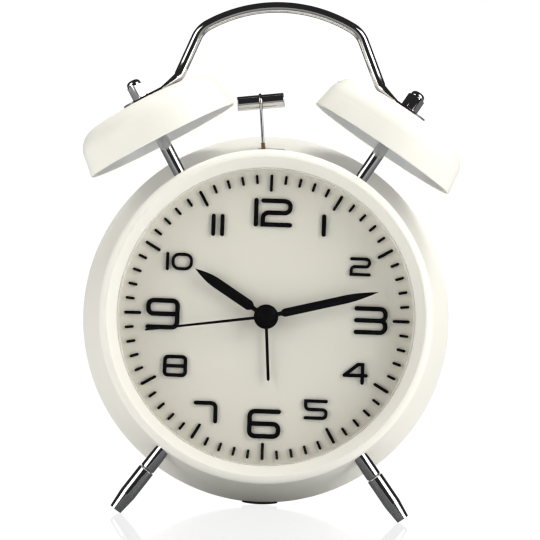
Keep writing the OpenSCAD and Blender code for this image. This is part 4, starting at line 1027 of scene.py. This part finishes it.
knob_black = Finish("knob_black", {"Specular IOR Level": 0.4})
knob_black.feed("Base Color", knob_black.colours(knob_black.noise(500, 3), (0.010, 0.010, 0.011, 1),
                                                 (0.024, 0.024, 0.025, 1)))
knob_black.feed("Roughness", knob_black.noise(900, 3) * 0.2 + 0.36)
knob_black.bump(knob_black.noise(3000, 3), 0.00003, 0.6)

ribs = Pattern("knob_ribs", RIBS, knob_black)
rib_spots = ribs.add("GeometryNodeMeshCircle", None, {"Vertices": ribs.size("Count"),
                                                      "Radius": ribs.size("Ring radius")})
set_ribs = ribs.add("GeometryNodeInstanceOnPoints", None, {"Points": rib_spots,
                                                           "Instance": ribs.size("Geometry")})
rib_line = eased_line([(0, 0, 0), (RIB_R, 0, 0.2), (RIB_R, KNOB_HEIGHT, 0.4), (0, KNOB_HEIGHT, 0)], 4)
rib_ring = ribs.made(set_ribs, lathe(rib_line, Matrix(), 16))
knob_body = KNOB_R - RIB_PROUD
dish_floor = KNOB_HEIGHT - FACE_DISH
button_top = KNOB_HEIGHT + BUTTON_PROUD
knob_line = eased_line([(0, 0, 0), (knob_body, 0, 0.3), (knob_body, KNOB_HEIGHT, 0.5),
                        (BUTTON_R + 0.6, KNOB_HEIGHT, 0.15), (BUTTON_R + 0.4, dish_floor, 0.15),
                        (BUTTON_R + 0.1, dish_floor, 0.1), (BUTTON_R - 0.2, button_top, 0.3),
                        (0, button_top - BUTTON_DISH, 0)], 4)
for node, side in (("time_knob", -1), ("alarm_knob", 1)):
    knob = lathe(knob_line, Matrix(), 96)
    add_mesh(knob, rib_ring)
    knob.transform(Matrix.Translation((side * KNOB_OUT, KNOB_FOOT, 0)) @ case_axis)
    fit(node + "_grip", knob, node, knob_black)
rib_ring.free()


# Alarm switch. A black moulded slider with three grip ridges. It slides in the cover's slot and is
# held behind the cover by its wide foot.
fit("slider", softened("alarm_switch", 0.15), "alarm_switch", knob_black)


# Works. Wheels cut from brass, steel arbors and motor parts, a copper coil, a green circuit board and
# two cells in the well; the movement's frame is moulded. Little of it shows unless the door is open.
CELL_BAND = 0.017

frame_plastic = Finish("frame_plastic", {"Specular IOR Level": 0.4})
frame_plastic.feed("Base Color", frame_plastic.colours(frame_plastic.noise(80, 3), (0.66, 0.64, 0.56, 1),
                                                       (0.74, 0.72, 0.64, 1)))
frame_plastic.feed("Roughness", frame_plastic.noise(700) * 0.2 + 0.4)

coil_copper = Finish("coil_copper", {"Metallic": 1.0})
strands = coil_copper.add("ShaderNodeTexWave", {"wave_type": "BANDS", "bands_direction": "Z"},
                          {"Vector": coil_copper.place, "Scale": 800, "Distortion": 0.4}, 1)
coil_copper.feed("Base Color", coil_copper.colours(strands, (0.22, 0.07, 0.025, 1), (0.62, 0.26, 0.10, 1)))
coil_copper.feed("Roughness", coil_copper.noise(600) * 0.2 + 0.25)
coil_copper.bump(strands, 0.00006)

board_green = Finish("board_green", {"Coat Weight": 0.3, "Coat Roughness": 0.15})
tracks = board_green.add("ShaderNodeTexBrick", None, {
    "Vector": board_green.place, "Scale": 260, "Mortar Size": 0.06,
    "Color1": (0.012, 0.11, 0.04, 1), "Color2": (0.016, 0.14, 0.05, 1), "Mortar": (0.05, 0.24, 0.09, 1)})
board_green.feed("Base Color", tracks)
board_green.feed("Roughness", board_green.noise(500) * 0.2 + 0.35)

cell_jacket = Finish("cell_jacket", {"Coat Weight": 0.4, "Coat Roughness": 0.1})
along_cell = cell_jacket.axis(cell_jacket.place, "X")
copper_end = cell_jacket.add("ShaderNodeMath", {"operation": "ABSOLUTE"}, {0: along_cell}) > CELL_BAND
cell_jacket.feed("Base Color", cell_jacket.colours(copper_end, (0.02, 0.022, 0.026, 1),
                                                   (0.46, 0.24, 0.10, 1)))
cell_jacket.feed("Roughness", cell_jacket.noise(300, 3) * 0.15 + 0.28)
cell_jacket.feed("Metallic", copper_end * 0.8)

works = {"brass": brass, "steel": steel, "frame_plastic": frame_plastic, "coil_copper": coil_copper,
         "board_green": board_green, "cell_jacket": cell_jacket}
for node, slot in slot_of.items():
    if slot in works and node not in ("hammer_sleeve", "cover_screws"):
        mesh = frame["nodes"][node].data
        mesh.materials.clear()
        mesh.materials.append(works[slot].material)
